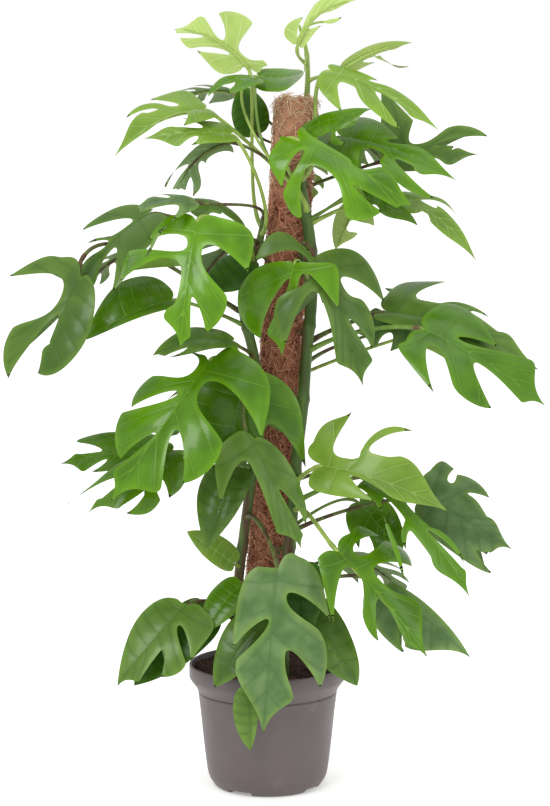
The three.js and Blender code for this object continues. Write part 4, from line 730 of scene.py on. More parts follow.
def spaced(line: np.ndarray, step: float) -> np.ndarray:
    """Returns a line's points at even steps, with both its ends.

    Args:
        line: The line.
        step: The distance between points.

    Returns:
        The new points.
    """
    lengths = np.concatenate(([0], np.cumsum(np.linalg.norm(np.diff(line, axis=0), axis=1))))
    count = max(1, round(lengths[-1] / step))
    places = np.linspace(0, lengths[-1], count + 1)
    return np.stack([np.interp(places, lengths, line[:, axis]) for axis in range(line.shape[1])], 1)


def away_from(points: np.ndarray, starts: np.ndarray, ends: np.ndarray) -> np.ndarray:
    """Returns each point's distance to the nearest of some straight stretches.

    Args:
        points: The points.
        starts: Where the stretches start.
        ends: Where they end.

    Returns:
        The distances.
    """
    spans = ends - starts
    weights = np.maximum((spans ** 2).sum(1), 1e-12)
    shares = np.clip(((points[:, None] - starts) * spans).sum(2) / weights, 0, 1)
    return np.linalg.norm(points[:, None] - starts - shares[..., None] * spans, axis=2).min(1)


# ---- a leaf's data
@dataclass(frozen=True)
class Stalk:
    """How a leaf hangs on its stem.

    The stalk leaves the named stem at a height, turned by some degrees from the way to the blade. Its curve
    reaches out from the stem and back from the blade by two distances, and the sag lowers it at the blade.
    """

    stem: str
    height: float
    turn: float
    out: float
    into: float
    sag: float


@dataclass(frozen=True)
class Lobe:
    """A lobe of one side, flat: its four corners, its stretch of the midrib and its edges' roundness."""

    inner: np.ndarray
    corner: np.ndarray
    outer: np.ndarray
    tip: np.ndarray
    start: float
    end: float
    near_width: float
    far_width: float


@dataclass(frozen=True)
class Side:
    """One side of a blade, in shares of the midrib's length.

    The shoulder is where the first lobe is widest. A cut is its inner end's u and v, the tip of the lobe
    before it, and the corner of the lobe after it. The back is how far the side reaches behind the base.
    """

    shoulder: Pair
    cuts: tuple[tuple[float, ...], ...] = ()
    back: Pair = (0.05, 0.16)

    BASE = 0.008
    LEAN = 0.35
    VEIN_SPACING = 0.17
    SHORTEST_VEIN = 0.12
    EDGE_STEPS = 24
    MARGIN_STEPS = 40
    VEIN_STEPS = 12

    @staticmethod
    def cut_width(cut: tuple[float, ...]) -> float:
        """Works out how round the inner end of a cut is.

        Args:
            cut: The cut.

        Returns:
            The length of the handles that round its end.
        """
        root, tip, corner = (np.array(cut[start:start + 2]) for start in (0, 2, 4))
        depth = np.linalg.norm(tip - root)
        return min(0.5 * depth, max(0.03, 0.1 * depth + 0.45 * np.linalg.norm(corner - tip)))

    def lobes(self) -> list[Lobe]:
        """Divides the side at its cuts.

        Returns:
            The lobes, from the base to the tip.
        """
        found = []
        for before, after in zip((None, *self.cuts), (*self.cuts, None)):
            found.append(Lobe(
                inner=np.array(before[:2] if before else (0, self.BASE)),
                corner=np.array(before[4:] if before else (-self.back[0], self.back[1])),
                outer=np.array(after[:2] if after else (1, 0)),
                tip=np.array(after[2:4] if after else (1, 0)),
                start=before[0] - self.LEAN * before[1] if before else 0,
                end=after[0] - self.LEAN * after[1] if after else 1,
                near_width=self.cut_width(before) if before else 0,
                far_width=self.cut_width(after) if after else 0,
            ))
        return found

    def near_edge(self, lobe: Lobe) -> np.ndarray:
        """Draws a lobe's edge towards the base: the blade's rounded back, or the far side of a cut.

        Args:
            lobe: The lobe.

        Returns:
            The edge's points, from the inside out.
        """
        back_u, back_v = self.back
        if lobe.near_width == 0:
            controls = [lobe.inner, lobe.inner + (-back_u, 0.02),
                        lobe.corner + (-0.5 * back_u, -0.45 * back_v), lobe.corner]
        else:
            controls = [lobe.inner, lobe.inner + (lobe.near_width, 0),
                        lobe.inner + 0.65 * (lobe.corner - lobe.inner) + (0.015, 0), lobe.corner]
        return bezier(controls, self.EDGE_STEPS)

    def far_edge(self, lobe: Lobe) -> np.ndarray:
        """Draws a lobe's edge towards the tip, hooked forwards.

        Args:
            lobe: The lobe.

        Returns:
            The edge's points, from the inside out.
        """
        span = lobe.tip - lobe.outer
        hook = 0.16 * np.array((-span[1], span[0]))
        controls = [lobe.outer, lobe.outer + (-lobe.far_width, 0), lobe.outer + 0.6 * span + hook, lobe.tip]
        return bezier(controls, self.EDGE_STEPS)

    def margin(self, lobe: Lobe) -> np.ndarray:
        """Draws a lobe's outer edge.

        The first lobe's passes the shoulder at its middle, the last one's ends in the blade's drip tip, and
        one in between bulges.

        Args:
            lobe: The lobe.

        Returns:
            The edge's points, from its corner to its tip.
        """
        corner, tip = lobe.corner, lobe.tip
        span = tip - corner
        if lobe.near_width == 0:
            wide_u, wide_v = self.shoulder
            level = (8 * wide_v - corner[1] - tip[1]) / 6
            near_u = corner[0] + 0.22 * (wide_u - corner[0])
            far_u = (8 * wide_u - corner[0] - tip[0]) / 3 - near_u
            controls = [corner, (near_u, level), (far_u, level), tip]
        elif lobe.far_width == 0:
            reach = np.linalg.norm(span)
            controls = [corner, corner + 0.35 * span + (0, min(0.1, 0.3 * reach)),
                        tip + (-min(0.22, 0.7 * reach), min(0.035, 0.1 * reach)), tip]
        else:
            bulge = np.array((-span[1], span[0]))
            bulge = bulge if bulge[1] >= 0 else -bulge
            controls = [corner, corner + 0.25 * span + 0.22 * bulge, corner + 0.75 * span + 0.2 * bulge, tip]
        return bezier(controls, self.MARGIN_STEPS)

    def outline(self) -> np.ndarray:
        """Joins the edges of the side's lobes.

        Returns:
            The outline's points, from the base to the tip.
        """
        lines = []
        for lobe in self.lobes():
            lines += [self.near_edge(lobe), self.margin(lobe)]
            if lobe.far_width:
                lines.append(self.far_edge(lobe)[::-1])
        return np.concatenate([line if index == 0 else line[1:] for index, line in enumerate(lines)])

    def veins(self) -> list[np.ndarray]:
        """Draws the side's main veins: one or more in each lobe, from the midrib towards its margin.

        Returns:
            The veins' points.
        """
        found = []
        for lobe in self.lobes():
            count = max(1, round((lobe.end - lobe.start) / self.VEIN_SPACING))
            rim = self.margin(lobe)
            for index in range(count):
                share = (index + 0.5) / count
                root = np.array((lobe.start + (lobe.end - lobe.start) * share * 0.92, 0))
                goal = rim[round(len(rim) * min(0.97, 0.12 + 0.86 * share)) - 1]
                near_tip = lobe.far_width == 0 and share > 0.8
                if near_tip or np.linalg.norm(goal - root) < self.SHORTEST_VEIN:
                    continue
                waist = lobe.inner + (lobe.outer - lobe.inner) * share
                waist = waist if lobe.far_width or lobe.near_width else root + (0.05, 0.08)
                halfway = 0.5 * (root + goal)
                middle = halfway + 0.35 * (waist - halfway) * (waist[1] < goal[1])
                found.append(bezier([root, middle + (0.02, 0), root + 0.93 * (goal - root)], self.VEIN_STEPS))
        return found


@dataclass(frozen=True)
class Leaf:
    """A leaf: its midrib's ends, where its upper side faces, its curl, its two sides and its stalk.

    The upper side's face is a turn about the height, 0 at the front, and a tilt upwards, in degrees. The arch
    and the bend curve the midrib upwards and sideways, in shares of its length. The droop is how many degrees
    the right and the left side turn down, over a width that is a share of the length.
    """

    name: str
    base: Point
    tip: Point
    face: Pair
    arch: float
    bend: float
    droop: Pair
    width: float
    age: Age
    stalk: Stalk
    right: Side
    left: Side


FRONT_LEAVES = (
    Leaf("crown_1", (-22, -26, 865), (-109, -10, 910), (172, 22), 0.04, 0.11, (12, 12), 0.33, Age.PALE,
         Stalk("left", 680, -90, 50, 25, 12),
         Side((-0.12, 0.2), ((0.17, 0.05, -0.04, 0.2, 0.26, 0.42),
              (0.45, 0.03, 0.57, 0.3, 0.69, 0.19)), (0.1, 0.12)),
         Side((0.28, 0.33), ((0.28, 0.05, 0.7, 0.22, 0.79, 0.21),
              (0.66, 0.02, 0.94, 0.1, 0.98, 0.05)), (-0.04, 0.1))),
    Leaf("crown_2", (-15, -47, 854), (-68, -91, 832), (-20, 62), 0.12, 0, (40, 40), 0.34, Age.YOUNG,
         Stalk("right", 725, 15, 60, 20, 50), Side((0.4, 0.34), ((0.5, 0.12, 0.81, 0.21, 0.72, 0.01),)),
         Side((0.33, 0.23))),
    Leaf("crown_3", (37, -8, 895), (104, -30, 943), (150, 30), 0.05, -0.14, (10, 10), 0.24, Age.PALE,
         Stalk("back", 870, -30, 10, 15, 5),
         Side((0.18, 0.12), ((0.22, 0.02, 0.37, 0.13, 0.44, 0.15),
              (0.34, 0.01, 0.73, 0.18, 0.49, 0.01)), (0.05, 0.07)),
         Side((0.07, 0.24), ((0.08, 0.04, 0.28, 0.12, 0.47, 0.13),), (0.05, 0.08))),
    Leaf("crown_4", (-11, -28, 856), (42, -66, 860), (10, 50), -0.08, 0, (25, 25), 0.44, Age.FRESH,
         Stalk("right", 720, 60, 70, 60, 25), Side((0.38, 0.32)), Side((0.75, 0.44))),
    Leaf("crown_5", (92, -11, 867), (169, -27, 894), (160, 50), 0.1, 0, (15, 15), 0.2, Age.PALE,
         Stalk("back", 850, 0, 15, 15, 5),
         Side((0.2, 0.2), ((0.26, 0.09, 0.39, 0.22, 0.49, 0.12),
              (0.49, 0.08, 0.82, 0.44, 0.6, 0.06)), (0.05, 0.12)), Side((0.38, 0.12), (), (0.05, 0.07))),
    Leaf("crown_6", (75, -31, 861), (200, -57, 792), (25, 48), 0.07, 0, (35, 35), 0.2, Age.TENDER,
         Stalk("right", 740, -30, 35, 40, 10),
         Side((0.12, 0.13), ((0.31, 0.05, 0.36, 0.1, 0.43, 0.09),), (0.05, 0.1)),
         Side((0.03, 0.26), ((0.16, 0.09, 0.24, 0.32, 0.27, 0.12),
              (0.43, 0.03, 0.74, 0.22, 0.68, 0.05)), (0.05, 0.12))),
    Leaf("top_right_1", (44, -53, 793), (120, -85, 818), (5, 35), 0.05, 0, (25, 25), 0.14, Age.FRESH,
         Stalk("right", 735, 0, 15, 15, 5), Side((0.35, 0.14), (), (0.03, 0.11)),
         Side((0.14, 0.16), ((0.38, 0.17, 0.28, 0.18, 0.35, 0.28),
              (0.53, 0.19, 0.58, 0.49, 0.67, 0.17)), (0.05, 0.06))),
    Leaf("top_right_2", (37, -74, 782), (168, -110, 706), (12, 38), 0.06, 0, (38, 38), 0.25, Age.FRESH,
         Stalk("right", 700, 25, 15, 60, 5), Side((0.13, 0.07), ((0.5, 0.01, 0.41, 0.04, 0.62, 0.13),)),
         Side((-0.12, 0.25), ((0.08, 0.07, 0.07, 0.41, 0.08, 0.43), (0.27, 0.14, 0.3, 0.54, 0.63, 0.37),
              (0.55, 0.14, 0.83, 0.18, 0.88, 0.1)), (0.13, 0.05))),
    Leaf("top_right_3", (86, -22, 785), (220, -62, 735), (10, 45), 0.08, 0, (30, 30), 0.33, Age.YOUNG,
         Stalk("right", 735, 45, 20, 15, 5),
         Side((0.05, 0.33), ((0.38, 0.05, 0.44, 0.12, 0.54, 0.1),), (0.05, 0.12)),
         Side((0.2, 0.43), ((0.3, 0.07, 0.41, 0.48, 0.41, 0.18),
              (0.55, 0.09, 0.93, 0.26, 0.68, 0.12)), (0.05, 0.15))),
    Leaf("top_right_4", (143, 12, 757), (249, -12, 764), (8, 35), 0.04, 0, (20, 20), 1, Age.MATURE,
         Stalk("back", 720, 0, 30, 25, 5),
         Side((-0.14, 1), ((0.33, 0.15, 0.27, 0.46, 0.65, 0.33),
              (0.59, 0.11, 1.09, 0.22, 0.71, 0.05)), (0.1, 0.37)),
         Side((0.21, 0.2), ((0.48, 0.04, 0.42, 0.22, 0.65, 0.14),), (0.05, 0.12))),
    Leaf("top_right_5", (154, -24, 714), (245, -48, 640), (30, 40), 0.12, 0, (20, 20), 0.16, Age.TENDER,
         Stalk("right", 685, 0, 50, 20, 5),
         Side((0.32, 0.29), ((0.24, 0.08, 0.63, 0.32, 0.35, 0.14),), (0.05, 0.06)),
         Side((0.14, 0.16), ((0.3, 0.01, 0.28, 0.01, 0.42, 0.11),), (0.05, 0.1))),
    Leaf("top_right_6", (99, -42, 719), (175, -66, 683), (12, 40), 0.08, 0, (30, 30), 0.24, Age.YOUNG,
         Stalk("right", 690, 0, 15, 10, 5), Side((0.38, 0.2), (), (0.05, 0.12)),
         Side((0.2, 0.24), ((0.37, 0.06, 0.41, 0.21, 0.49, 0.14),), (0.05, 0.14))),
    Leaf("top_right_7", (105, 0, 703), (81, -6, 651), (170, 20), 0.04, 0, (10, 10), 0.4, Age.PALE,
         Stalk("right", 690, 0, 20, 25, 5), Side((0.38, 0.3)),
         Side((0.11, 0.46), ((0.42, 0.01, 0.22, 0.51, 0.49, 0.27),))),
    Leaf("top_left_1", (-73, -48, 817), (-176, -92, 763), (-15, 58), 0.13, 0, (34, 4), 0.35, Age.TENDER,
         Stalk("right", 725, -45, 35, 30, 10),
         Side((0.17, 0.22), ((0.24, 0.02, 0.34, 0.22, 0.44, 0.01),), (0.05, 0.13)),
         Side((0.02, 0.35), ((0.21, 0.11, 0.38, 0.31, 0.33, 0.21),
              (0.41, 0.14, 0.68, 0.25, 0.53, 0.19)), (0.05, 0.13))),
    Leaf("top_left_2", (-42, -62, 789), (-142, -104, 784), (-10, 48), 0.05, 0, (26, 26), 0.25, Age.TENDER,
         Stalk("left", 671, 60, 50, 25, 10),
         Side((0.27, 0.18), ((0.43, 0.07, 0.54, 0.2, 0.65, 0.19),), (0.05, 0.1)),
         Side((0.19, 0.25), ((0.34, 0.07, 0.48, 0.28, 0.6, 0.11),), (0.05, 0.1))),
    Leaf("top_left_3", (-46, -42, 778), (-104, -60, 723), (-172, 16), 0.04, 0.13, (8, 8), 0.14, Age.OLD,
         Stalk("right", 735, -30, 25, 20, 5), Side((0.59, 0.14), ((0.64, 0.03, 1, 0.2, 1.01, 0.08),)),
         Side((0.21, 0.08), ((0.47, 0.06, 0.41, 0.15, 0.61, 0.18), (0.76, 0.09, 1, 0.24, 0.95, 0.11)))),
    Leaf("top_left_4", (-13, 6, 790), (-32, -8, 846), (10, 20), 0.04, 0, (20, 20), 0.4, Age.DEEP,
         Stalk("back", 765, -45, 20, 15, 5), Side((0.38, 0.4)), Side((0.38, 0.36))),
    Leaf("mid_left_2", (-87, -76, 710), (-21, -58, 670), (8, 62), 0.17, 0, (40, 40), 0.25, Age.MATURE,
         Stalk("left", 660, 30, 50, 40, 40), Side((0.38, 0.2), (), (0.05, 0.12)),
         Side((0.04, 0.25), ((0.34, 0.15, 0.2, 0.31, 0.42, 0.09),), (0.05, 0.07))),
    Leaf("mid_left_3", (-84, -116, 714), (-150, -144, 707), (-10, 66), 0.08, 0, (40, 40), 0.43, Age.OLD,
         Stalk("left", 690, 45, 55, 25, 5),
         Side((0.5, 0.5), ((0.48, 0.19, 1.22, 0.89, 0.98, 0.18),), (0.05, 0.12)),
         Side((0.32, 0.36), ((0.4, 0.07, 0.5, 0.33, 0.6, 0.2),))),
    Leaf("mid_left_1", (-79, -140, 692), (-97, -186, 551), (-10, 36), 0.07, 0, (40, 40), 0.43, Age.FRESH,
         Stalk("left", 640, 30, 65, 30, 10),
         Side((0.02, 0.43), ((0.25, 0.08, 0.35, 0.45, 0.57, 0.31), (0.62, 0.05, 0.86, 0.18, 0.88, 0.07))),
         Side((0.04, 0.31), ((0.2, 0.04, 0.16, 0.4, 0.19, 0.6), (0.46, 0.05, 0.47, 0.63, 0.73, 0.14)))),
    Leaf("mid_left_4", (-137, -51, 696), (-228, -91, 585), (-30, 42), 0.12, 0, (26, 8), 0.3, Age.MATURE,
         Stalk("left", 650, 60, 35, 25, 10),
         Side((0.36, 0.3), ((0.44, 0.05, 0.71, 0.28, 0.64, 0.08), (0.73, 0.03, 0.84, 0.09, 0.89, 0.05))),
         Side((0.18, 0.3), ((0.17, 0.03, 0.42, 0.31, 0.37, 0.07),
              (0.41, 0.03, 0.49, 0.18, 0.54, 0.07)), (0.05, 0.04))),
    Leaf("mid_left_5", (-215, -107, 642), (-261, -145, 520), (-22, 34), 0.06, 0.06, (34, 0), 0.31, Age.MATURE,
         Stalk("left", 580, -45, 75, 85, 15), Side((0.59, 0.28), (), (-0.1, 0.09)),
         Side((-0.04, 0.31), ((0.29, 0.07, 0.2, 0.61, 0.73, 0.38), (0.56, 0.02, 1.16, 0.22, 0.74, 0.01)))),
    Leaf("mid_left_6", (-112, -46, 595), (-211, -80, 552), (-15, 26), 0.1, 0, (30, 30), 0.42, Age.YOUNG,
         Stalk("left", 565, 0, 25, 20, 5), Side((0.48, 0.08), (), (0.05, 0.12)), Side((0.3, 0.42))),
    Leaf("mid_left_7", (-20, -31, 638), (-73, -49, 605), (-5, 40), 0.05, 0, (25, 25), 0.4, Age.DEEP,
         Stalk("left", 600, -35, 40, 25, 12), Side((0.38, 0.4)), Side((0.38, 0.4))),
    Leaf("middle_1", (55, -77, 648), (111, -99, 499), (14, 30), 0.07, 0, (38, 38), 0.4, Age.MATURE,
         Stalk("right", 610, -30, 15, 60, 5),
         Side((0.13, 0.4), ((0.25, 0.1, 0.49, 0.4, 0.41, 0.2),
              (0.52, 0.05, 0.77, 0.14, 0.82, 0.12)), (0.01, 0.16)),
         Side((-0.24, 0.12), ((0.04, 0.06, -0.14, 0.42, 0.18, 0.37),
              (0.31, 0.09, 0.52, 0.45, 0.73, 0.14)), (0.07, 0.02))),
    Leaf("middle_2", (31, -89, 640), (17, -71, 530), (-14, 34), 0.07, 0, (34, 34), 0.58, Age.FRESH,
         Stalk("right", 615, 0, 15, 15, 5),
         Side((-0.09, 0.41), ((0.16, 0.09, 0.36, 0.55, 0.31, 0.09),), (0.04, 0.04)),
         Side((0.42, 0.58), ((0.17, 0.01, 0.84, 0.24, 0.73, 0.17),), (0.02, 0.05))),
    Leaf("mid_right_1", (182, -79, 564), (321, -115, 478), (18, 40), 0.06, 0, (32, 32), 0.39, Age.YOUNG,
         Stalk("right", 535, 0, 65, 30, 10), Side((0.09, 0.39), ((0.27, 0.05, 0.5, 0.16, 0.73, 0.25),)),
         Side((-0.07, 0.24), ((0.13, 0.11, 0.32, 0.42, 0.4, 0.31), (0.47, 0.05, 0.71, 0.29, 0.83, 0.11)))),
    Leaf("mid_right_2", (140, -26, 579), (318, -64, 514), (12, 48), 0.1, 0, (30, 30), 0.36, Age.MATURE,
         Stalk("right", 545, 30, 25, 20, 5),
         Side((0.02, 0.36), ((0.19, 0.14, 0.24, 0.42, 0.31, 0.16),
              (0.45, 0.15, 0.6, 0.17, 0.68, 0.09)), (0.05, 0.14)), Side((0.38, 0.12), (), (0.05, 0.07))),
    Leaf("mid_right_3", (182, -1, 572), (100, -21, 552), (0, 34), 0.04, 0, (14, 14), 0.4, Age.OLD,
         Stalk("right", 520, 35, 60, 60, 25),
         Side((0.3, 0.38), ((0.53, 0.15, 0.6, 0.42, 0.76, 0.31),), (0.05, 0.12)),
         Side((-0.03, 0.4), ((0.28, 0.13, 0.33, 0.56, 0.56, 0.27),))),
    Leaf("low_left_2", (-41, -72, 549), (-132, -112, 536), (-12, 52), 0.12, 0, (20, 20), 0.24, Age.MATURE,
         Stalk("left", 530, 0, 15, 10, 5),
         Side((0.42, 0.2), ((0.6, 0.1, 0.85, 0.15, 0.88, 0.1),), (0.05, 0.08)),
         Side((0.36, 0.24), (), (0.05, 0.1))),
    Leaf("low_left_1", (-67, -96, 529), (-180, -150, 371), (-16, 38), 0.09, 0.05, (40, 40), 0.38, Age.FRESH,
         Stalk("left", 515, 0, 20, 15, 5),
         Side((-0.02, 0.38), ((0.18, 0.06, 0.25, 0.52, 0.39, 0.35),
              (0.48, 0.08, 0.68, 0.29, 0.76, 0.21)), (0.12, 0.13)),
         Side((0, 0.22), ((0.07, 0.04, 0.08, 0.46, 0.21, 0.27), (0.27, 0.04, 0.47, 0.25, 0.53, 0.29),
              (0.54, 0.01, 0.77, 0.1, 0.82, 0.09)), (0.02, 0.07))),
    Leaf("low_left_4", (-111, -89, 421), (-207, -123, 355), (-14, 46), 0.07, 0, (30, 30), 0.24, Age.YOUNG,
         Stalk("left", 395, 0, 30, 45, 25),
         Side((0.16, 0.39), ((0.29, 0.18, 0.31, 0.43, 0.39, 0.39),
              (0.44, 0.22, 0.74, 0.28, 0.73, 0.2)), (0.05, 0.12)),
         Side((0.65, 0.24), ((0.59, 0.01, 1.09, 0.28, 0.81, 0.01),), (0.05, 0.12))),
    Leaf("low_left_3", (-121, -53, 418), (-243, -83, 406), (-14, 42), 0.04, 0, (26, 26), 0.28, Age.YOUNG,
         Stalk("left", 375, 0, 30, 20, 5),
         Side((0.36, 0.18), ((0.57, 0.05, 0.73, 0.16, 0.78, 0.14),), (0.05, 0.11)),
         Side((0.49, 0.28), ((0.61, 0.05, 0.75, 0.19, 0.79, 0.06),), (0.05, 0.11))),
    Leaf("low_left_5", (-27, -50, 510), (-49, -66, 392), (0, 30), 0.04, 0, (26, 26), 0.59, Age.YOUNG,
         Stalk("left", 500, 0, 10, 10, 5),
         Side((0.22, 0.59), ((0.54, 0.3, 0.82, 0.77, 0.75, 0.2),), (0.05, 0.13)), Side((0.38, 0.46))),
    Leaf("low_left_6", (-24, -78, 444), (40, -104, 309), (8, 32), 0.05, 0, (26, 26), 0.34, Age.MATURE,
         Stalk("left", 525, 0, 40, 20, 5),
         Side((0.44, 0.19), ((0.52, 0.02, 0.84, 0.1, 0.88, 0.05),), (-0.07, 0.04)),
         Side((0.13, 0.34), ((0.27, 0.1, 0.44, 0.45, 0.77, 0.13),), (0.02, 0.1))),
    Leaf("low_left_7", (-39, -56, 395), (-71, -88, 306), (-8, 32), 0.05, 0, (26, 26), 0.34, Age.MATURE,
         Stalk("left", 385, 0, 10, 5, 0), Side((0.32, 0.24)), Side((0.31, 0.34))),
    Leaf("low_left_8", (-41, -44, 281), (-95, -70, 324), (-14, 30), 0.02, 0, (20, 20), 0.26, Age.TENDER,
         Stalk("left", 275, 0, 10, 10, 5), Side((0.38, 0.2), (), (0.05, 0.12)), Side((0.38, 0.26))),
    Leaf("low_right_1", (64, -98, 406), (210, -134, 358), (12, 34), 0.1, 0, (-14, 34), 0.21, Age.TENDER,
         Stalk("right", 380, 0, 20, 15, 5),
         Side((-0.03, 0.36), ((0.13, 0.09, 0.11, 0.45, 0.25, 0.18),
              (0.34, 0.17, 0.54, 0.43, 0.53, 0.22)), (0.13, 0.17)),
         Side((0.08, 0.21), ((0.25, 0.03, 0.49, 0.17, 0.5, 0.08),))),
    Leaf("low_right_2", (130, -86, 388), (235, -122, 256), (12, 42), 0.08, 0, (36, 36), 0.25, Age.YOUNG,
         Stalk("right", 355, 0, 30, 25, 5),
         Side((0.08, 0.25), ((0.27, 0.02, 0.47, 0.25, 0.47, 0.04), (0.48, 0.01, 0.8, 0.09, 0.81, 0.06))),
         Side((0.16, 0.15), ((0.18, 0.06, 0.66, 0.33, 0.35, 0.1), (0.43, 0.09, 0.49, 0.2, 0.63, 0.09)))),
    Leaf("low_right_3", (188, -48, 358), (289, -72, 302), (12, 40), 0.04, 0, (26, 26), 0.55, Age.OLD,
         Stalk("right", 320, 0, 40, 35, 10),
         Side((-0.09, 0.55), ((0.11, 0.31, 0.06, 0.52, 0.12, 0.46),
              (0.35, 0.28, 0.53, 0.38, 0.61, 0.16)), (0.13, 0.34)),
         Side((0.48, 0.4), ((0.73, 0.23, 0.94, 0.36, 0.8, 0.19),))),
    Leaf("low_right_4", (82, -112, 308), (186, -142, 188), (8, 36), 0.06, 0, (34, 34), 0.27, Age.FRESH,
         Stalk("right", 345, 0, 25, 20, 5),
         Side((-0.07, 0.27), ((0.1, 0.08, 0.09, 0.44, 0.1, 0.61), (0.33, 0.08, 0.42, 0.43, 0.63, 0.2))),
         Side((-0.01, 0.18), ((0.18, 0.01, 0.39, 0.4, 0.42, 0.15), (0.48, 0.01, 0.68, 0.22, 0.76, 0.06)))),
    Leaf("low_right_5", (135, -66, 259), (238, -100, 179), (12, 36), 0.04, 0, (22, 22), 0.39, Age.OLD,
         Stalk("right", 240, 0, 30, 50, 5), Side((0.41, 0.11), (), (-0.03, 0.05)),
         Side((0.35, 0.39), ((0.39, 0.22, 0.47, 0.35, 0.51, 0.34),))),
    Leaf("low_right_6", (110, -14, 348), (160, -34, 288), (10, 30), 0.05, 0, (20, 20), 0.4, Age.YOUNG,
         Stalk("right", 325, 20, 30, 25, 5), Side((0.38, 0.36)),
         Side((0.28, 0.42), ((0.43, 0.23, 0.55, 0.47, 0.76, 0.32),))),
    Leaf("skirt_1", (11, -112, 288), (-5, -128, 93), (2, 30), 0.08, 0, (34, 34), 0.28, Age.OLD,
         Stalk("left", 335, 0, 25, 20, 5),
         Side((0.06, 0.28), ((0.16, 0.07, 0.28, 0.36, 0.33, 0.27),
              (0.5, 0.09, 0.7, 0.32, 0.72, 0.15)), (0.08, 0.12)),
         Side((0.18, 0.21), ((0.31, 0.02, 0.49, 0.22, 0.55, 0.19),), (0, 0.11))),
    Leaf("skirt_2", (48, -50, 233), (106, -84, 141), (10, 30), 0.05, 0, (24, 24), 0.28, Age.MATURE,
         Stalk("right", 225, 0, 10, 15, 0), Side((0.43, 0.22)), Side((0.38, 0.28))),
    Leaf("skirt_3", (-94, -77, 238), (-175, -117, 149), (-12, 36), 0.06, 0, (26, 26), 0.34, Age.MATURE,
         Stalk("left", 225, 0, 20, 15, 5),
         Side((0.01, 0.34), ((0.22, 0.09, 0.41, 0.41, 0.45, 0.39), (0.52, 0.13, 0.69, 0.29, 0.83, 0.15))),
         Side((0.33, 0.28), (), (-0.02, 0.1))),
    Leaf("skirt_4", (-73, -54, 224), (-157, -90, 143), (-8, 34), 0.05, 0, (20, 20), 0.26, Age.DEEP,
         Stalk("left", 210, 0, 10, 10, 5), Side((0.38, 0.26)), Side((0.38, 0.26))),
    Leaf("skirt_5", (-32, -59, 259), (-76, -89, 205), (-10, 36), 0.08, 0, (30, 30), 0.3, Age.YOUNG,
         Stalk("left", 250, 0, 10, 5, 0), Side((0.38, 0.26)), Side((0.38, 0.3))),
    Leaf("skirt_6", (1, -84, 230), (-62, -112, 146), (-6, 34), 0.05, 0, (20, 20), 0.28, Age.MATURE,
         Stalk("right", 215, 0, 15, 10, 5), Side((0.38, 0.24), (), (0.05, 0.14)), Side((0.38, 0.28))),
    Leaf("skirt_7", (-20, -104, 141), (-20, -114, 71), (0, 20), 0.06, 0, (20, 20), 0.28, Age.MATURE,
         Stalk("left", 175, 0, 30, 20, 5), Side((0.38, 0.13), (), (0.05, 0.08)), Side((0.38, 0.28))),
    Leaf("skirt_8", (41, -62, 281), (35, -84, 187), (0, 30), 0.05, 0, (20, 20), 0.28, Age.DEEP,
         Stalk("right", 275, 0, 10, 5, 5), Side((0.38, 0.28)), Side((0.38, 0.28))),
)


class RearForm(Enum):
    """The forms of the blades at the back: each side's shoulder and its cuts, the right side first."""

    BROAD_MIDDLE = (
        (0.22, ((0.24, 0.08, 0.45, 0.41, 0.46, 0.29), (0.66, 0.08, 0.82, 0.2, 0.83, 0.12))),
        (0.24, ((0.28, 0.08, 0.48, 0.4, 0.49, 0.28), (0.7, 0.08, 0.86, 0.17, 0.87, 0.1))))
    EVEN = (
        (0.25, ((0.3, 0.08, 0.5, 0.38, 0.51, 0.26), (0.55, 0.08, 0.73, 0.26, 0.74, 0.17))),
        (0.28, ((0.36, 0.08, 0.55, 0.36, 0.56, 0.25), (0.6, 0.08, 0.77, 0.23, 0.78, 0.15))))
    SINGLE_CUT = (
        (0.3, ((0.42, 0.09, 0.61, 0.32, 0.62, 0.21),)),
        (0.28, ((0.36, 0.09, 0.55, 0.34, 0.56, 0.23),)))

    def leaf(self, number: int, base: Point, tip: Point, face: Pair, width: float, age: Age,
             stalk: Stalk) -> Leaf:
        """Makes a leaf at the back, which arches and droops as the others there do.

        Args:
            number: Its number, for its name.
            base: Where its midrib starts.
            tip: Where its midrib ends.
            face: Where its upper side faces.
            width: The reach of each side, as a share of its length.
            age: Its age.
            stalk: Its stalk.

        Returns:
            The leaf.
        """
        right, left = (Side((shoulder, width), cuts) for shoulder, cuts in self.value)
        return Leaf(f"rear_{number}", base, tip, face, 0.08, 0, (32, 32), width, age, stalk, right, left)


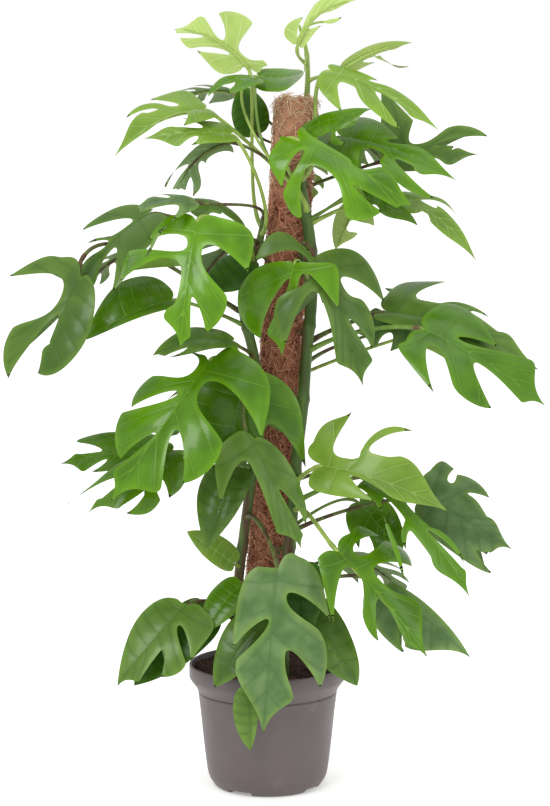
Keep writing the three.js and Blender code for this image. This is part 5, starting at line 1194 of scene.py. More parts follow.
REAR_LEAVES = (
    RearForm.BROAD_MIDDLE.leaf(1, (70, 38, 801), (151, 80, 742), (150, 38), 0.38, Age.MATURE,
                               Stalk("back", 790, 0, 15, 10, 5)),
    RearForm.EVEN.leaf(2, (29, 52, 767), (54, 92, 696), (176, 34), 0.38, Age.TENDER,
                       Stalk("back", 755, 0, 10, 10, 5)),
    RearForm.EVEN.leaf(3, (-45, 14, 838), (-114, 44, 824), (-140, 44), 0.34, Age.OLD,
                       Stalk("back", 775, 0, 25, 20, 5)),
    RearForm.BROAD_MIDDLE.leaf(4, (-33, 40, 662), (-95, 84, 584), (-150, 36), 0.4, Age.MATURE,
                               Stalk("back", 645, 0, 15, 15, 5)),
    RearForm.EVEN.leaf(5, (-163, -6, 649), (-227, 24, 594), (-130, 40), 0.34, Age.MATURE,
                       Stalk("back", 575, 0, 50, 40, 10)),
    RearForm.BROAD_MIDDLE.leaf(6, (47, 54, 632), (10, 100, 550), (172, 34), 0.4, Age.YOUNG,
                               Stalk("back", 625, 0, 5, 5, 5)),
    RearForm.EVEN.leaf(7, (188, 14, 551), (279, 40, 507), (140, 40), 0.36, Age.FRESH,
                       Stalk("back", 490, 0, 45, 35, 10)),
    RearForm.BROAD_MIDDLE.leaf(8, (-55, 44, 487), (-126, 88, 408), (-152, 36), 0.38, Age.DEEP,
                               Stalk("back", 455, 0, 20, 15, 5)),
    RearForm.EVEN.leaf(9, (-7, 54, 415), (5, 92, 319), (178, 32), 0.36, Age.MATURE,
                       Stalk("back", 410, 0, 5, 10, 5)),
    RearForm.EVEN.leaf(10, (103, 36, 390), (193, 78, 347), (145, 40), 0.36, Age.YOUNG,
                       Stalk("back", 360, 0, 25, 20, 5)),
    RearForm.EVEN.leaf(11, (101, 34, 275), (174, 72, 212), (150, 38), 0.36, Age.OLD,
                       Stalk("back", 245, 0, 25, 20, 5)),
    RearForm.SINGLE_CUT.leaf(12, (23, 62, 247), (0, 104, 154), (176, 32), 0.36, Age.MATURE,
                             Stalk("back", 230, 0, 10, 10, 0)),
    RearForm.EVEN.leaf(13, (-78, 46, 205), (-147, 80, 145), (-150, 38), 0.34, Age.YOUNG,
                       Stalk("back", 185, 0, 20, 15, 5)),
)


# ---- stems
@dataclass(frozen=True)
class Stem:
    """A climbing stem: smooth and green, with swollen ringed nodes and short roots that grip the pole."""

    name: str
    radius: float
    points: tuple[Point, ...]
    root_height: float = 100
    node_spacing: float = 88
    node_swell: float = 0.16
    node_length: float = 9
    tip_taper: float = 0.6
    tip_length: float = 88
    tip_power: float = 2
    tip_rounding: Pair = (0.85, 0.5)
    ring_depth: float = 0.35
    ring_width: float = 1.6
    roots_per_node: int = 2
    root_swing: float = 60
    root_rise: Pair = (-0.6, 0.1)
    root_reach: Pair = (14, 22)
    root_drop: Pair = (6, 22)
    root_girth: Pair = (1.3, 0.5)
    step: float = 2.5
    sides: int = 20

    def axis(self, z: float) -> np.ndarray:
        """Follows the stem's axis, a cubic through its points.

        Args:
            z: The height.

        Returns:
            The axis's point at that height.
        """
        points = np.array(self.points, float)
        index = int(np.clip(np.searchsorted(points[:, 2], z) - 1, 0, len(points) - 2))
        low, high = points[index], points[index + 1]
        span = high[2] - low[2]
        t = (z - low[2]) / span
        if t < 0:
            return np.array((low[0], low[1], z))
        before, after = points[max(index - 1, 0)], points[min(index + 2, len(points) - 1)]
        slopes = [(high - before) / (high[2] - before[2]), (after - low) / (after[2] - low[2])]
        place = ((2 * t ** 3 - 3 * t ** 2 + 1) * low + (t ** 3 - 2 * t ** 2 + t) * span * slopes[0]
                 + (3 * t ** 2 - 2 * t ** 3) * high + (t ** 3 - t ** 2) * span * slopes[1])
        return np.array((place[0], place[1], z))

    def girth(self, z: float) -> float:
        """Works out how thick the stem is, with its nodes, their rings and its slimmer tip.

        Args:
            z: The height.

        Returns:
            The radius at that height.
        """
        foot, top = self.points[0][2], self.points[-1][2]
        from_node = abs((z - foot) % self.node_spacing - self.node_spacing / 2)
        node = max(0.0, 1 - from_node / self.node_length)
        tip = np.clip(1 - (top - z) / self.tip_length, 0, 1)
        ring = self.ring_depth * math.exp(-((from_node / self.ring_width) ** 2))
        slimmed = 1 - self.tip_taper * tip ** self.tip_power
        return self.radius * (1 + self.node_swell * node) * slimmed + ring

    def node_heights(self) -> list[float]:
        """Returns the heights of the stem's nodes."""
        foot, top = self.points[0][2], self.points[-1][2]
        return list(np.arange(foot + self.node_spacing / 2, top, self.node_spacing))

    def aerial_roots(self, pole: "CoirPole") -> list[np.ndarray]:
        """Draws the roots that leave each node towards the pole and then hang.

        Args:
            pole: The pole that they grip.

        Returns:
            The roots' paths.
        """
        roots = []
        dice = np.random.default_rng(len(self.name))
        near, far = self.root_reach
        for z in self.node_heights():
            centre = self.axis(z)
            inward = np.array((pole.x_at(z), 0, z)) - centre
            inward /= np.linalg.norm(inward)
            for swing in dice.uniform(-self.root_swing, self.root_swing, self.roots_per_node):
                turn = math.radians(swing)
                way = np.array((inward[0] * math.cos(turn) - inward[1] * math.sin(turn),
                                inward[0] * math.sin(turn) + inward[1] * math.cos(turn),
                                dice.uniform(*self.root_rise)))
                start = centre + 0.6 * self.radius * way
                hanging = (0, 0, -dice.uniform(*self.root_drop))
                roots.append(bezier([start, start + near * way, start + far * way + hanging], 10))
        return roots

    def build(self, tubes: Tree, pole: "CoirPole") -> Piece:
        """Makes the stem and its aerial roots.

        Args:
            tubes: The tree that turns paths into tubes.
            pole: The pole that the roots grip.

        Returns:
            The finished piece.
        """
        heights = np.arange(self.root_height, self.points[-1][2] + self.step / 2, self.step)
        roots = self.aerial_roots(pole)
        lines = [np.array([self.axis(z) for z in heights]), *roots]
        widths = [np.array([self.girth(z) for z in heights])]
        widths[0][-2:] *= self.tip_rounding
        widths += [np.linspace(*self.root_girth, len(root)) for root in roots]
        starts = np.cumsum([0] + [len(line) for line in lines])
        edges = [(first + step, first + step + 1) for first, line in zip(starts, lines)
                 for step in range(len(line) - 1)]
        values = {"girth": np.concatenate(widths) * MM}
        piece = new_piece(f"fine_{self.name}", np.concatenate(lines), [], edges, values)
        return grown(piece, tubes, {"Sides": self.sides, "Skin": STEM_SKIN.material()})


# ---- leaves
class Blade:
    """A blade in space: its fine mesh, its veins and its stalk's path.

    Lengths are in millimetres. The outline's spacing, the rows' and the clearance of the points between them
    are shares of the spacing. The wave is its height as a share of the blade's length, how fast it runs along
    the midrib and where it starts. The quilt is how far the blade swells between veins, as such a share.
    """

    THICKNESS = 0.55
    THIN_EDGE = 1.5
    SPACING = 2.6
    OUTLINE_SPACING = 0.8
    ROW_SPACING = 0.87
    CLEARANCE = 0.45
    VEE = math.radians(8)
    WAVE = (0.01, 11, 2.4)
    QUILT = 0.0025
    QUILT_FROM_VEIN = 6
    QUILT_FROM_RIM = 9
    CREASE_DEPTH = 0.12
    CREASE_WIDTH = 1.2
    MIDRIB_END = 0.97
    STALK_SPACING = 3.0
    STALK_SLOPE = 0.55
    STALK_SIDES = 10
    # A stalk's radius grows with its blade's length, from the first to the last of these.
    STALK_RADII = (1.1, 2.6)
    STALK_GROWTH = 0.009
    FOOT_SWELL = 0.5
    KNEE_SWELL = 0.28
    KNEE_PLACE = 11
    KNEE_LENGTH = 6
    RIDGE_END = 0.93
    RIDGE_SPACING = 4.0
    RIDGE_TIP = 0.25
    # A stalk's own vein and rim distance, past those that a blade's colours read.
    OFF_BLADE = 9.0

    def __init__(self, leaf: Leaf) -> None:
        """Works out the midrib and its directions.

        Args:
            leaf: The leaf whose blade this is.
        """
        self.leaf = leaf
        base, tip = np.array(leaf.base, float), np.array(leaf.tip, float)
        chord = tip - base
        span = np.linalg.norm(chord)
        turn, tilt = (math.radians(angle) for angle in leaf.face)
        facing = np.array((math.sin(turn) * math.cos(tilt), -math.cos(turn) * math.cos(tilt), math.sin(tilt)))
        along = chord / span
        self.up = facing - facing @ along * along
        self.up /= np.linalg.norm(self.up)
        right = np.cross(self.up, along)
        middle = (base + tip) / 2 + 2 * span * (leaf.arch * self.up + leaf.bend * right)
        self.controls = (base, middle, tip)
        line = bezier(list(self.controls), 100)
        self.length = float(np.linalg.norm(np.diff(line, axis=0), axis=1).sum())

    def frames(self, u: np.ndarray) -> tuple[np.ndarray, np.ndarray, np.ndarray, np.ndarray]:
        """Follows the midrib, and runs on straight past its ends.

        Args:
            u: Shares of the midrib's length.

        Returns:
            The midrib's points there and its directions along, up and right.
        """
        base, middle, tip = self.controls
        t = np.clip(u, 0, 1)[:, None]
        along = 2 * (1 - t) * (middle - base) + 2 * t * (tip - middle)
        along /= np.linalg.norm(along, axis=1)[:, None]
        origin = (1 - t) ** 2 * base + 2 * t * (1 - t) * middle + t ** 2 * tip
        origin += along * (u[:, None] - t) * self.length
        up = self.up - along * (along @ self.up)[:, None]
        up /= np.linalg.norm(up, axis=1)[:, None]
        return origin, along, up, np.cross(up, along)

    def lift(self, flat: np.ndarray) -> np.ndarray:
        """Lifts flat points: each side rises from the midrib and then droops in an arc.

        Args:
            flat: The points, in shares of the midrib's length.

        Returns:
            The points in space.
        """
        u, v = flat[:, 0], flat[:, 1]
        leaf = self.leaf
        origin, _, up, right = self.frames(u)
        reach = np.abs(v) * self.length
        span = leaf.width * self.length
        bend = np.radians(np.where(v > 0, *leaf.droop)) / span + 1e-9
        out = (math.sin(self.VEE) - np.sin(self.VEE - bend * reach)) / bend
        height, pitch, phase = self.WAVE
        wave = height * self.length * np.sin(u * pitch + phase + np.where(v > 0, 2, 0)) * (reach / span) ** 2
        rise = (np.cos(self.VEE - bend * reach) - math.cos(self.VEE)) / bend + wave
        return origin + right * (np.sign(v) * out)[:, None] + up * rise[:, None]

    def flat_lines(self) -> tuple[np.ndarray, list[np.ndarray]]:
        """Joins the two sides.

        Returns:
            The outline and the veins, the midrib first, flat and in millimetres.
        """
        right, left = self.leaf.right, self.leaf.left
        mirror = np.array((1, -1))
        halves = [right.outline(), left.outline()[::-1][1:] * mirror]
        outline = spaced(np.concatenate(halves) * self.length, self.SPACING * self.OUTLINE_SPACING)
        midrib = np.array(((0.0, 0.0), (self.MIDRIB_END, 0.0)))
        veins = [midrib, *right.veins(), *[vein * mirror for vein in left.veins()]]
        return outline, [spaced(vein * self.length, self.SPACING) for vein in veins]

    def mesh(self) -> tuple[np.ndarray, np.ndarray, np.ndarray, np.ndarray, np.ndarray]:
        """Divides the flat blade into even triangles.

        Returns:
            The flat points in millimetres, the triangles, the distances to the nearest vein and to the
            outline, and which points lie on the outline.
        """
        outline, veins = self.flat_lines()
        step = self.SPACING
        low, high = outline.min(0), outline.max(0)
        rows = np.arange(low[1], high[1], step * self.ROW_SPACING)
        columns = np.arange(low[0], high[0], step)
        grid = np.array([(x + (step / 2 if row % 2 else 0), y) for row, y in enumerate(rows)
                         for x in columns])
        ring = (outline, np.roll(outline, -1, 0))
        stretches = (np.concatenate([vein[:-1] for vein in veins]),
                     np.concatenate([vein[1:] for vein in veins]))
        grid = grid[self.within(grid, outline)]
        clear = np.minimum(away_from(grid, *ring), away_from(grid, *stretches)) > self.CLEARANCE * step
        grid = grid[clear]
        points = [*outline, *[point for vein in veins for point in vein], *grid]
        edges, first = [], len(outline)
        for vein in veins:
            edges += [(first + index, first + index + 1) for index in range(len(vein) - 1)]
            first += len(vein)
        made = geometry.delaunay_2d_cdt([Vector(point) for point in points], edges,
                                        [list(range(len(outline)))], 1, 1e-5)
        flat = np.array([tuple(point) for point in made[0]])
        faces = np.array(made[2])
        area = np.cross(flat[faces[:, 1]] - flat[faces[:, 0]], flat[faces[:, 2]] - flat[faces[:, 0]])
        faces = np.where((area > 0)[:, None], faces, faces[:, ::-1])[np.abs(area) > 1e-6]
        used = np.unique(faces)
        place = np.full(len(flat), -1)
        place[used] = np.arange(len(used))
        flat, faces = flat[used], place[faces]
        return flat, faces, away_from(flat, *stretches), away_from(flat, *ring), self.rim_of(faces, len(flat))

    @staticmethod
    def within(points: np.ndarray, outline: np.ndarray) -> np.ndarray:
        """Tells which points lie inside an outline, by how often a line from each crosses it.

        Args:
            points: The points.
            outline: The outline's points, in order.

        Returns:
            True for each point inside.
        """
        ends = np.roll(outline, -1, 0)
        crosses = (outline[:, 1] > points[:, 1:2]) != (ends[:, 1] > points[:, 1:2])
        height = np.where(ends[:, 1] == outline[:, 1], 1e-12, ends[:, 1] - outline[:, 1])
        where = outline[:, 0] + (points[:, 1:2] - outline[:, 1]) * (ends[:, 0] - outline[:, 0]) / height
        return (crosses & (points[:, :1] < where)).sum(1) % 2 == 1

    @staticmethod
    def rim_of(faces: np.ndarray, count: int) -> np.ndarray:
        """Tells which points lie on an edge of only one triangle.

        Args:
            faces: The triangles.
            count: The number of points.

        Returns:
            True for each such point.
        """
        edges = np.sort(np.concatenate([faces[:, [0, 1]], faces[:, [1, 2]], faces[:, [2, 0]]]), axis=1)
        pairs, uses = np.unique(edges, axis=0, return_counts=True)
        on_rim = np.zeros(count, bool)
        on_rim[pairs[uses == 1].ravel()] = True
        return on_rim

    def stalk_path(self, stems: dict[str, Stem]) -> tuple[np.ndarray, np.ndarray]:
        """Draws the stalk from its stem to the blade, and on under the blade as the midrib's ridge.

        Args:
            stems: The stems by name.

        Returns:
            The path's points and its radii there.
        """
        stalk = self.leaf.stalk
        stem = stems[stalk.stem]
        origin, along, up, _ = (value[0] for value in self.frames(np.zeros(1)))
        axis = stem.axis(stalk.height)
        out = (origin - axis) * (1, 1, 0)
        out /= np.linalg.norm(out)
        turn = math.radians(stalk.turn)
        out = np.array((out[0] * math.cos(turn) - out[1] * math.sin(turn),
                        out[0] * math.sin(turn) + out[1] * math.cos(turn), 0))
        foot = axis + out * 0.5 * stem.radius
        leaving = out + (0, 0, self.STALK_SLOPE)
        leaving /= np.linalg.norm(leaving)
        arriving = origin - along * stalk.into - up * stalk.sag
        face = axis + out * stem.girth(stalk.height)
        curve = bezier([origin, arriving, face + leaving * stalk.out, face], 60)
        thinnest, thickest = self.STALK_RADII
        radius = min(thickest, thinnest + self.STALK_GROWTH * self.length)
        line = spaced(curve, self.STALK_SPACING)[:0:-1]
        run = np.linalg.norm(np.diff(line, axis=0), axis=1)
        share = 1 - np.concatenate(([0], np.cumsum(run))) / (run.sum() + self.STALK_SPACING)
        from_knee = np.linalg.norm(line - origin, axis=1) - self.KNEE_PLACE
        knee = self.KNEE_SWELL * np.exp(-((from_knee / self.KNEE_LENGTH) ** 2))
        girth = radius * (1 + self.FOOT_SWELL * share ** 6 + knee)
        us = np.arange(0.0, self.RIDGE_END, self.RIDGE_SPACING / self.length)
        ridge = radius * (1 - us) ** 0.9 * 0.95 + self.RIDGE_TIP
        spine, _, ups, _ = self.frames(us)
        line = np.concatenate([foot[None], line, spine - ups * (ridge - 0.1)[:, None]])
        girth = np.concatenate([[girth[0]], girth, ridge])
        return line, girth

    def thickened(self, flat: np.ndarray, faces: np.ndarray, vein: np.ndarray, rim: np.ndarray,
                  ) -> tuple[np.ndarray, np.ndarray]:
        """Gives the lifted blade its thickness, swollen between its veins and creased along them.

        Args:
            flat: The flat points in millimetres.
            faces: The triangles.
            vein: The points' distances to the nearest vein.
            rim: The points' distances to the outline.

        Returns:
            The points of the upper and of the lower side.
        """
        places = self.lift(flat / self.length)
        normals = np.zeros_like(places)
        corners = places[faces]
        sheets = np.cross(corners[:, 1] - corners[:, 0], corners[:, 2] - corners[:, 0])
        for corner in range(3):
            np.add.at(normals, faces[:, corner], sheets)
        normals /= np.maximum(np.linalg.norm(normals, axis=1), 1e-9)[:, None]
        swell = (1 - np.exp(-((vein / self.QUILT_FROM_VEIN) ** 2))) * np.clip(rim / self.QUILT_FROM_RIM, 0, 1)
        middle = (self.QUILT * self.length * swell
                  - self.CREASE_DEPTH * np.exp(-((vein / self.CREASE_WIDTH) ** 2)))
        half = self.THICKNESS * np.clip(rim / self.THIN_EDGE, 0, 1) / 2
        return places + normals * (middle + half)[:, None], places + normals * (middle - half)[:, None]

    @staticmethod
    def sharpen(mesh: bpy.types.Mesh, faces: np.ndarray) -> None:
        """Marks the blade's rim as sharp, so that its two sides are shaded apart.

        Args:
            mesh: The leaf's mesh.
            faces: The upper side's triangles.
        """
        pairs = np.sort(faces[:, [0, 1, 1, 2, 2, 0]].reshape(-1, 2), axis=1)
        single, uses = np.unique(pairs, axis=0, return_counts=True)
        rim = set(map(tuple, single[uses == 1].tolist()))
        ends = np.zeros(len(mesh.edges) * 2, int)
        mesh.edges.foreach_get("vertices", ends)
        ends = np.sort(ends.reshape(-1, 2), axis=1)
        sharp = mesh.attributes.new("sharp_edge", "BOOLEAN", "EDGE")
        sharp.data.foreach_set("value", [tuple(pair) in rim for pair in ends.tolist()])

    def build(self, stems: dict[str, Stem], tubes: Tree, shade: float) -> Piece:
        """Makes the leaf.

        Args:
            stems: The stems by name.
            tubes: The tree that turns paths into tubes.
            shade: How much lighter or darker than others of its age it is.

        Returns:
            The finished piece.
        """
        flat, faces, vein, rim, on_rim = self.mesh()
        top, bottom = self.thickened(flat, faces, vein, rim)
        # The lower side shares the rim's points with the upper side and has points of its own inside it.
        inner = ~on_rim
        under = np.where(on_rim, np.arange(len(flat)), len(flat) + np.cumsum(inner) - 1)
        path, girth = self.stalk_path(stems)
        first = len(flat) + int(inner.sum())
        off_blade = np.full(len(path), self.OFF_BLADE)
        piece = new_piece(
            f"fine_leaf_{self.leaf.name}", np.concatenate([top, bottom[inner], path]),
            np.concatenate([faces, under[faces][:, ::-1]]).tolist(),
            [(first + index, first + index + 1) for index in range(len(path) - 1)], {
                "vein": np.concatenate([vein, vein[inner], off_blade]),
                "rim": np.concatenate([rim, rim[inner], off_blade]),
                "shade": np.full(first + len(path), shade),
                "girth": np.concatenate([np.zeros(first), girth * MM]),
            })
        mesh = piece.data
        *skins, stalk_skin = self.leaf.age.value
        for skin in skins:
            mesh.materials.append(skin.material())
        mesh.polygons.foreach_set("material_index", [0] * len(faces) + [1] * len(faces))
        self.sharpen(mesh, faces)
        return grown(piece, tubes, {"Sides": self.STALK_SIDES, "Skin": stalk_skin.material()})


# ---- coir pole
@dataclass(frozen=True)
class CoirPole:
    """A pole of coconut fibre wrapped round a rod: a matted, hairy skin with a ragged head.

    Flutes wind about it as the strips of fibre do, with lumps between them, and its head flares and frays.
    """

    foot: Pair = (-8, 138)
    head: Pair = (34.05, 828)
    radius: float = 24.2
    below: float = 34
    turn_height: float = 62
    turns: int = 5
    turn_depth: float = 0.9
    lump_depth: float = 0.9
    lump_height: float = 9
    lumps_round: float = 3.2
    flare: float = 1.5
    fray: float = 7
    frays_round: float = 5
    edge: float = 0.6
    sides: int = 64
    step: float = 8
    hair_density: float = 66000.0
    hair_length: float = 24
    hair_girth: float = 0.42
    hair_bend: float = 3.5
    hair_lift: float = 2.8
    hair_lean: float = 0.2
    shortest_hair: float = 0.3
    seed: int = 3

    def x_at(self, z: float) -> float:
        """Returns the leaning axis's x at a height."""
        (foot_x, foot_z), (head_x, head_z) = self.foot, self.head
        return foot_x + (head_x - foot_x) * (z - foot_z) / (head_z - foot_z)

    def build(self, hairs: Tree) -> Piece:
        """Makes the pole.

        Args:
            hairs: The tree that scatters strands.

        Returns:
            The finished piece.
        """
        low, high = self.foot[1] - self.below, self.head[1]
        skin = self.radius - self.edge
        profile = [(0.0, low), (skin, low)]
        profile += [(skin + self.flare * ((z - low) / (high - low)) ** 8, z)
                    for z in np.arange(low + self.step, high, self.step)]
        profile += [(self.radius - 1.0, high), (self.radius * 0.6, high + 0.5), (0.0, high + 1)]
        rings, points = [], []
        for reach, z in profile:
            rings.append(len(points))
            for side in range(self.sides if reach else 1):
                angle = side * 2 * math.pi / self.sides
                x, y = math.cos(angle), math.sin(angle)
                turn = angle + 2 * math.pi * z / self.turn_height
                lump = noise.noise(Vector((x * self.lumps_round, y * self.lumps_round, z / self.lump_height)))
                winding = self.turn_depth * math.sin(self.turns * turn) + self.lump_depth * lump
                radius = reach + winding * (reach > 20)
                frayed = noise.noise(Vector((x * self.frays_round, y * self.frays_round, 1.7)))
                points.append((radius * x + self.x_at(z), radius * y,
                               z + self.fray * frayed * (z >= high) * (reach > 0)))
        piece = new_piece("fine_coir_pole", np.array(points), lathe_faces(rings, self.sides, len(points)))
        return grown(piece, hairs, {
            "Density": self.hair_density, "Strand Length": self.hair_length * MM,
            "Strand Girth": self.hair_girth * MM, "Bend": self.hair_bend * MM, "Lift": self.hair_lift * MM,
            "Lean": self.hair_lean, "Crumb Size": 0.0, "Smallest": self.shortest_hair, "Seed": self.seed,
            "Skin": Coir().material(),
        })


def lathe_faces(rings: list[int], sides: int, count: int) -> Faces:
    """Returns the faces between rings of points, where a ring of one point is a pole.

    Args:
        rings: The place of each ring's first point.
        sides: The number of points in a ring.
        count: The number of points in all.

    Returns:
        The faces.
    """
    faces = []
    sizes = np.diff([*rings, count])
    for low, high, low_size, high_size in zip(rings, rings[1:], sizes, sizes[1:]):
        for side in range(sides):
            after = (side + 1) % sides
            if low_size == 1:
                faces.append((low, high + side, high + after)[::-1])
            elif high_size == 1:
                faces.append((low + side, low + after, high))
            else:
                faces.append((low + side, low + after, high + after, high + side))
    return faces


# ---- pot and soil
@dataclass(frozen=True)
class NurseryPot:
    """A moulded pot: a tapering body, a stepped collar with a rounded lip and notches in its foot."""

    rim_radius: float = 95
    height: float = 150
    wall: float = 3
    collar_height: float = 16
    collar_taper: float = 17
    collar_foot: float = 84.5
    belt_radius: float = 75
    belt_height: float = 32
    foot_radius: float = 63
    floor: float = 3
    notches: int = 4
    notch_width: float = 30
    notch_height: float = 5
    notch_slope: float = 1.2
    first_notch: float = -122
    lip: float = 1.2
    crease: float = 1.5
    sides: int = 192

    def profile(self) -> list[Pair]:
        """Draws the wall's section, from the middle of the foot round the lip to the middle of the floor.

        Returns:
            The section's points: reach from the axis and height.
        """
        top, rim, foot, belt, throat = (self.height, self.rim_radius, self.foot_radius, self.belt_radius,
                                        self.collar_foot)
        collar = top - self.collar_height
        neck = collar - self.collar_taper
        outside = [
            (0, 0), (foot * 0.6, 0), (foot - 6, 0), (foot - 1, 0.2), (foot + 1.2, 1.2), (foot + 4, 4.5),
            (foot + 7, 9), (foot + 9, 14), (foot + 10.3, 20), (belt - 0.6, self.belt_height - 4),
            (belt, self.belt_height), (belt + 0.5, self.belt_height + 4), (78.4, 62), (81.2, 90),
            (throat - 0.4, neck - 3), (throat - 0.3, neck - 1), (throat - self.crease, neck - 0.4),
            (throat - self.crease, neck + 0.3), (throat + 0.4, neck + 0.9), (throat + 1, neck + 2.5),
            (throat + 3, neck + 6.5), (rim - 3, collar - 4.5), (rim - 0.6, collar - 1), (rim, collar + 0.8),
            (rim, top - self.lip), (rim - 0.4, top - 0.4),
        ]
        inside = [
            (rim - self.lip, top), (rim - self.wall + 0.4, top - 0.3), (rim - self.wall, top - 1.2),
            (rim - self.wall, collar), (throat - self.wall, neck), (belt - self.wall, self.belt_height),
            (foot - 1, self.floor), (0, self.floor),
        ]
        return outside + inside

    def build(self) -> Piece:
        """Makes the pot, with its foot raised over each notch.

        Returns:
            The finished piece.
        """
        points, rings = [], []
        spacing = 360 / self.notches
        half = math.degrees(self.notch_width / 2 / self.foot_radius)
        for reach, z in self.profile():
            rings.append(len(points))
            for side in range(self.sides if reach else 1):
                angle = 2 * math.pi * side / self.sides
                off = (math.degrees(angle) - self.first_notch + spacing / 2) % spacing - spacing / 2
                near = np.clip((half - abs(off)) / self.notch_slope + 1, 0, 1)
                in_foot = reach > self.foot_radius - 10 and z < self.notch_height
                points.append((reach * math.cos(angle), reach * math.sin(angle),
                               max(z, near * self.notch_height) if in_foot else z))
        piece = new_piece("fine_pot", np.array(points, float), lathe_faces(rings, self.sides, len(points)))
        piece.data.materials.append(Polypropylene().material())
        return piece


@dataclass(frozen=True)
class Soil:
    """Potting mix: a lumpy surface strewn with bark crumbs, down inside the pot."""

    level: float = 143
    edge: float = 91.4
    foot: float = 118
    foot_edge: float = 81
    unevenness: float = 1.6
    lump_size: float = 14
    sinking: float = 0.45
    sides: int = 96
    rings: int = 22
    crumb: float = 2.1
    crumb_density: float = 230000.0
    crumb_lean: float = 0.6
    smallest_crumb: float = 0.25
    seed: int = 11

    def build(self, crumbs: Tree) -> Piece:
        """Makes the soil.

        Args:
            crumbs: The tree that scatters crumbs.

        Returns:
            The finished piece.
        """
        profile = [(0.0, self.foot), (self.foot_edge, self.foot)]
        profile += [(self.edge * (1 - step / self.rings), self.level) for step in range(self.rings + 1)]
        points, starts = [], []
        for reach, z in profile:
            starts.append(len(points))
            for side in range(self.sides if reach > 0.01 else 1):
                angle = 2 * math.pi * side / self.sides
                x, y = reach * math.cos(angle), reach * math.sin(angle)
                lump = noise.noise(Vector((x / self.lump_size, y / self.lump_size, 0))) - self.sinking
                points.append((x, y, z + self.unevenness * lump * (z == self.level)))
        piece = new_piece("fine_soil", np.array(points), lathe_faces(starts, self.sides, len(points)))
        return grown(piece, crumbs, {
            "Density": self.crumb_density, "Strand Length": 0.0, "Strand Girth": 0.0, "Bend": 0.0,
            "Lift": 0.0, "Lean": self.crumb_lean, "Crumb Size": self.crumb * MM,
            "Smallest": self.smallest_crumb, "Seed": self.seed, "Skin": PottingMix().material(),
        })


# ---- studio
@dataclass(frozen=True)
class SoftLight:
    """A broad soft light: its name, where it hangs, its width and height, and its power in watts."""

    name: str
    place: Point
    size: Pair
    power: float

    def build(self, goal: Point) -> None:
        """Hangs the light.

        Args:
            goal: The point that it faces.
        """
        data = bpy.data.lights.new(self.name, "AREA")
        data.shape = "RECTANGLE"
        data.size, data.size_y = self.size[0] * MM, self.size[1] * MM
        data.energy = self.power
        lamp = bpy.data.objects.new(self.name, data)
        lamp.location = Vector(self.place) * MM
        lamp.rotation_euler = (Vector(goal) - Vector(self.place)).to_track_quat("-Z", "Y").to_euler()
        bpy.context.scene.collection.objects.link(lamp)


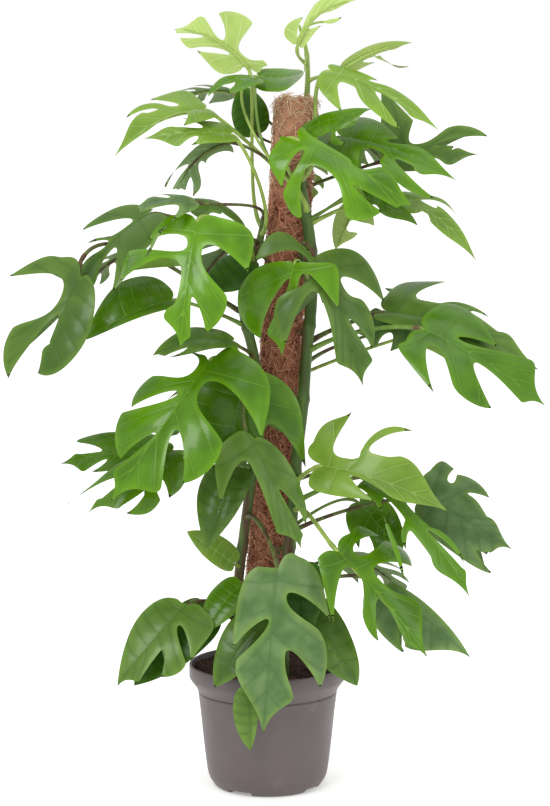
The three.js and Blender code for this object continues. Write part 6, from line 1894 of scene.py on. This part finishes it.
@dataclass(frozen=True)
class Studio:
    """A wide white floor under white air, a camera in front of the plant and broad soft lights."""

    camera_place: Point = (9, -3000, 850)
    camera_pitch: float = 7.27
    lens: float = 112.8
    floor_reach: float = 60000
    floor_depth: float = 0.5
    floor_sides: int = 64
    air: str = "#ffffff"
    middle: Point = (0, 0, 500)
    lights: tuple[SoftLight, ...] = (
        SoftLight("key_left", (-1100, -2300, 2500), (1200, 1200), 34),
        SoftLight("fill_right", (2000, -2100, 1700), (1000, 1600), 10),
        SoftLight("top", (500, -300, 2900), (1400, 1000), 6),
    )

    def camera(self) -> None:
        """Places the camera."""
        data = bpy.data.cameras.new("camera")
        data.lens = self.lens
        data.sensor_width = 36
        data.clip_end = 100
        camera = bpy.data.objects.new("camera", data)
        camera.location = Vector(self.camera_place) * MM
        camera.rotation_euler = (math.radians(90 - self.camera_pitch), 0, 0)
        bpy.context.scene.collection.objects.link(camera)
        bpy.context.scene.camera = camera

    def floor(self) -> None:
        """Makes the floor: a round card so wide that its edge lies at the horizon from every side."""
        angles = np.linspace(0, 2 * math.pi, self.floor_sides, endpoint=False)
        points = np.stack((self.floor_reach * np.cos(angles), self.floor_reach * np.sin(angles),
                           np.full(self.floor_sides, -self.floor_depth)), axis=1)
        card = new_piece("studio_floor", points, [tuple(range(self.floor_sides))])
        card.data.materials.append(StudioCard().material())

    def build(self) -> None:
        """Sets up the studio."""
        scene = bpy.context.scene
        scene.view_settings.view_transform = "Standard"
        world = bpy.data.worlds.new("studio_air")
        world.use_nodes = True
        background = world.node_tree.nodes["Background"]
        background.inputs["Color"].default_value = linear(self.air)
        background.inputs["Strength"].default_value = 1.0
        scene.world = world
        self.camera()
        self.floor()
        for light in self.lights:
            light.build(self.middle)


# ---- the plant
STEMS = (
    Stem("stem_left", 6, ((-33, -22, 164), (-35, -26, 245), (-29, -27, 306), (-21, -30, 367), (-14, -32, 439),
                          (-13, -30, 510), (-29, -24, 587), (-24, -20, 622), (-9, -17, 663), (-4, -20, 696))),
    Stem("stem_right", 7, ((19, -36, 167), (22, -34, 246), (29, -33, 331), (35, -31, 409), (42, -26, 468),
                           (46, -22, 527), (52, -26, 593), (51, -30, 653), (44, -36, 706), (38, -40, 744))),
    Stem("stem_back", 6, ((-4, 36, 132), (2, 36, 250), (16, 37, 400), (22, 36, 550), (34, 36, 700),
                          (46, 35, 820), (48, 33, 856), (46, 26, 886), (38, 12, 914)),
         tip_taper=0.7, tip_length=200, tip_power=1),
)


class MiniMonstera:
    """The whole plant in its pot."""

    SHADE_SPREAD = 0.14
    SHADE_SEED = 7

    def __init__(self) -> None:
        """Builds the trees that the pieces share."""
        self.tubes = path_tubes()
        self.cover = scatter()
        self.pole = CoirPole()
        self.stems = {stem.name.removeprefix("stem_"): stem for stem in STEMS}

    def build(self) -> None:
        """Makes every piece and dresses the solids that stay."""
        settle(NurseryPot().build(), "pot", "pot")
        settle(Soil().build(self.cover), "soil", "soil")
        settle(self.pole.build(self.cover), "coir", "coir_pole")
        for stem in STEMS:
            settle(stem.build(self.tubes, self.pole), "stem", stem.name)
        dice = np.random.default_rng(self.SHADE_SEED)
        for leaf in FRONT_LEAVES + REAR_LEAVES:
            shade = 1 + dice.uniform(-self.SHADE_SPREAD, self.SHADE_SPREAD)
            piece = Blade(leaf).build(self.stems, self.tubes, shade)
            settle(piece, "leaf", "stem_back" if leaf in REAR_LEAVES else f"leaf_{leaf.name}")
        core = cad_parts["pole_core"]
        core.data.materials.clear()
        core.data.materials.append(TurnedWood().material())


def main() -> None:
    """Builds the studio and the plant."""
    logging.basicConfig(level=logging.INFO, format="%(message)s")
    Studio().build()
    MiniMonstera().build()


if __name__ == "__main__":
    main()
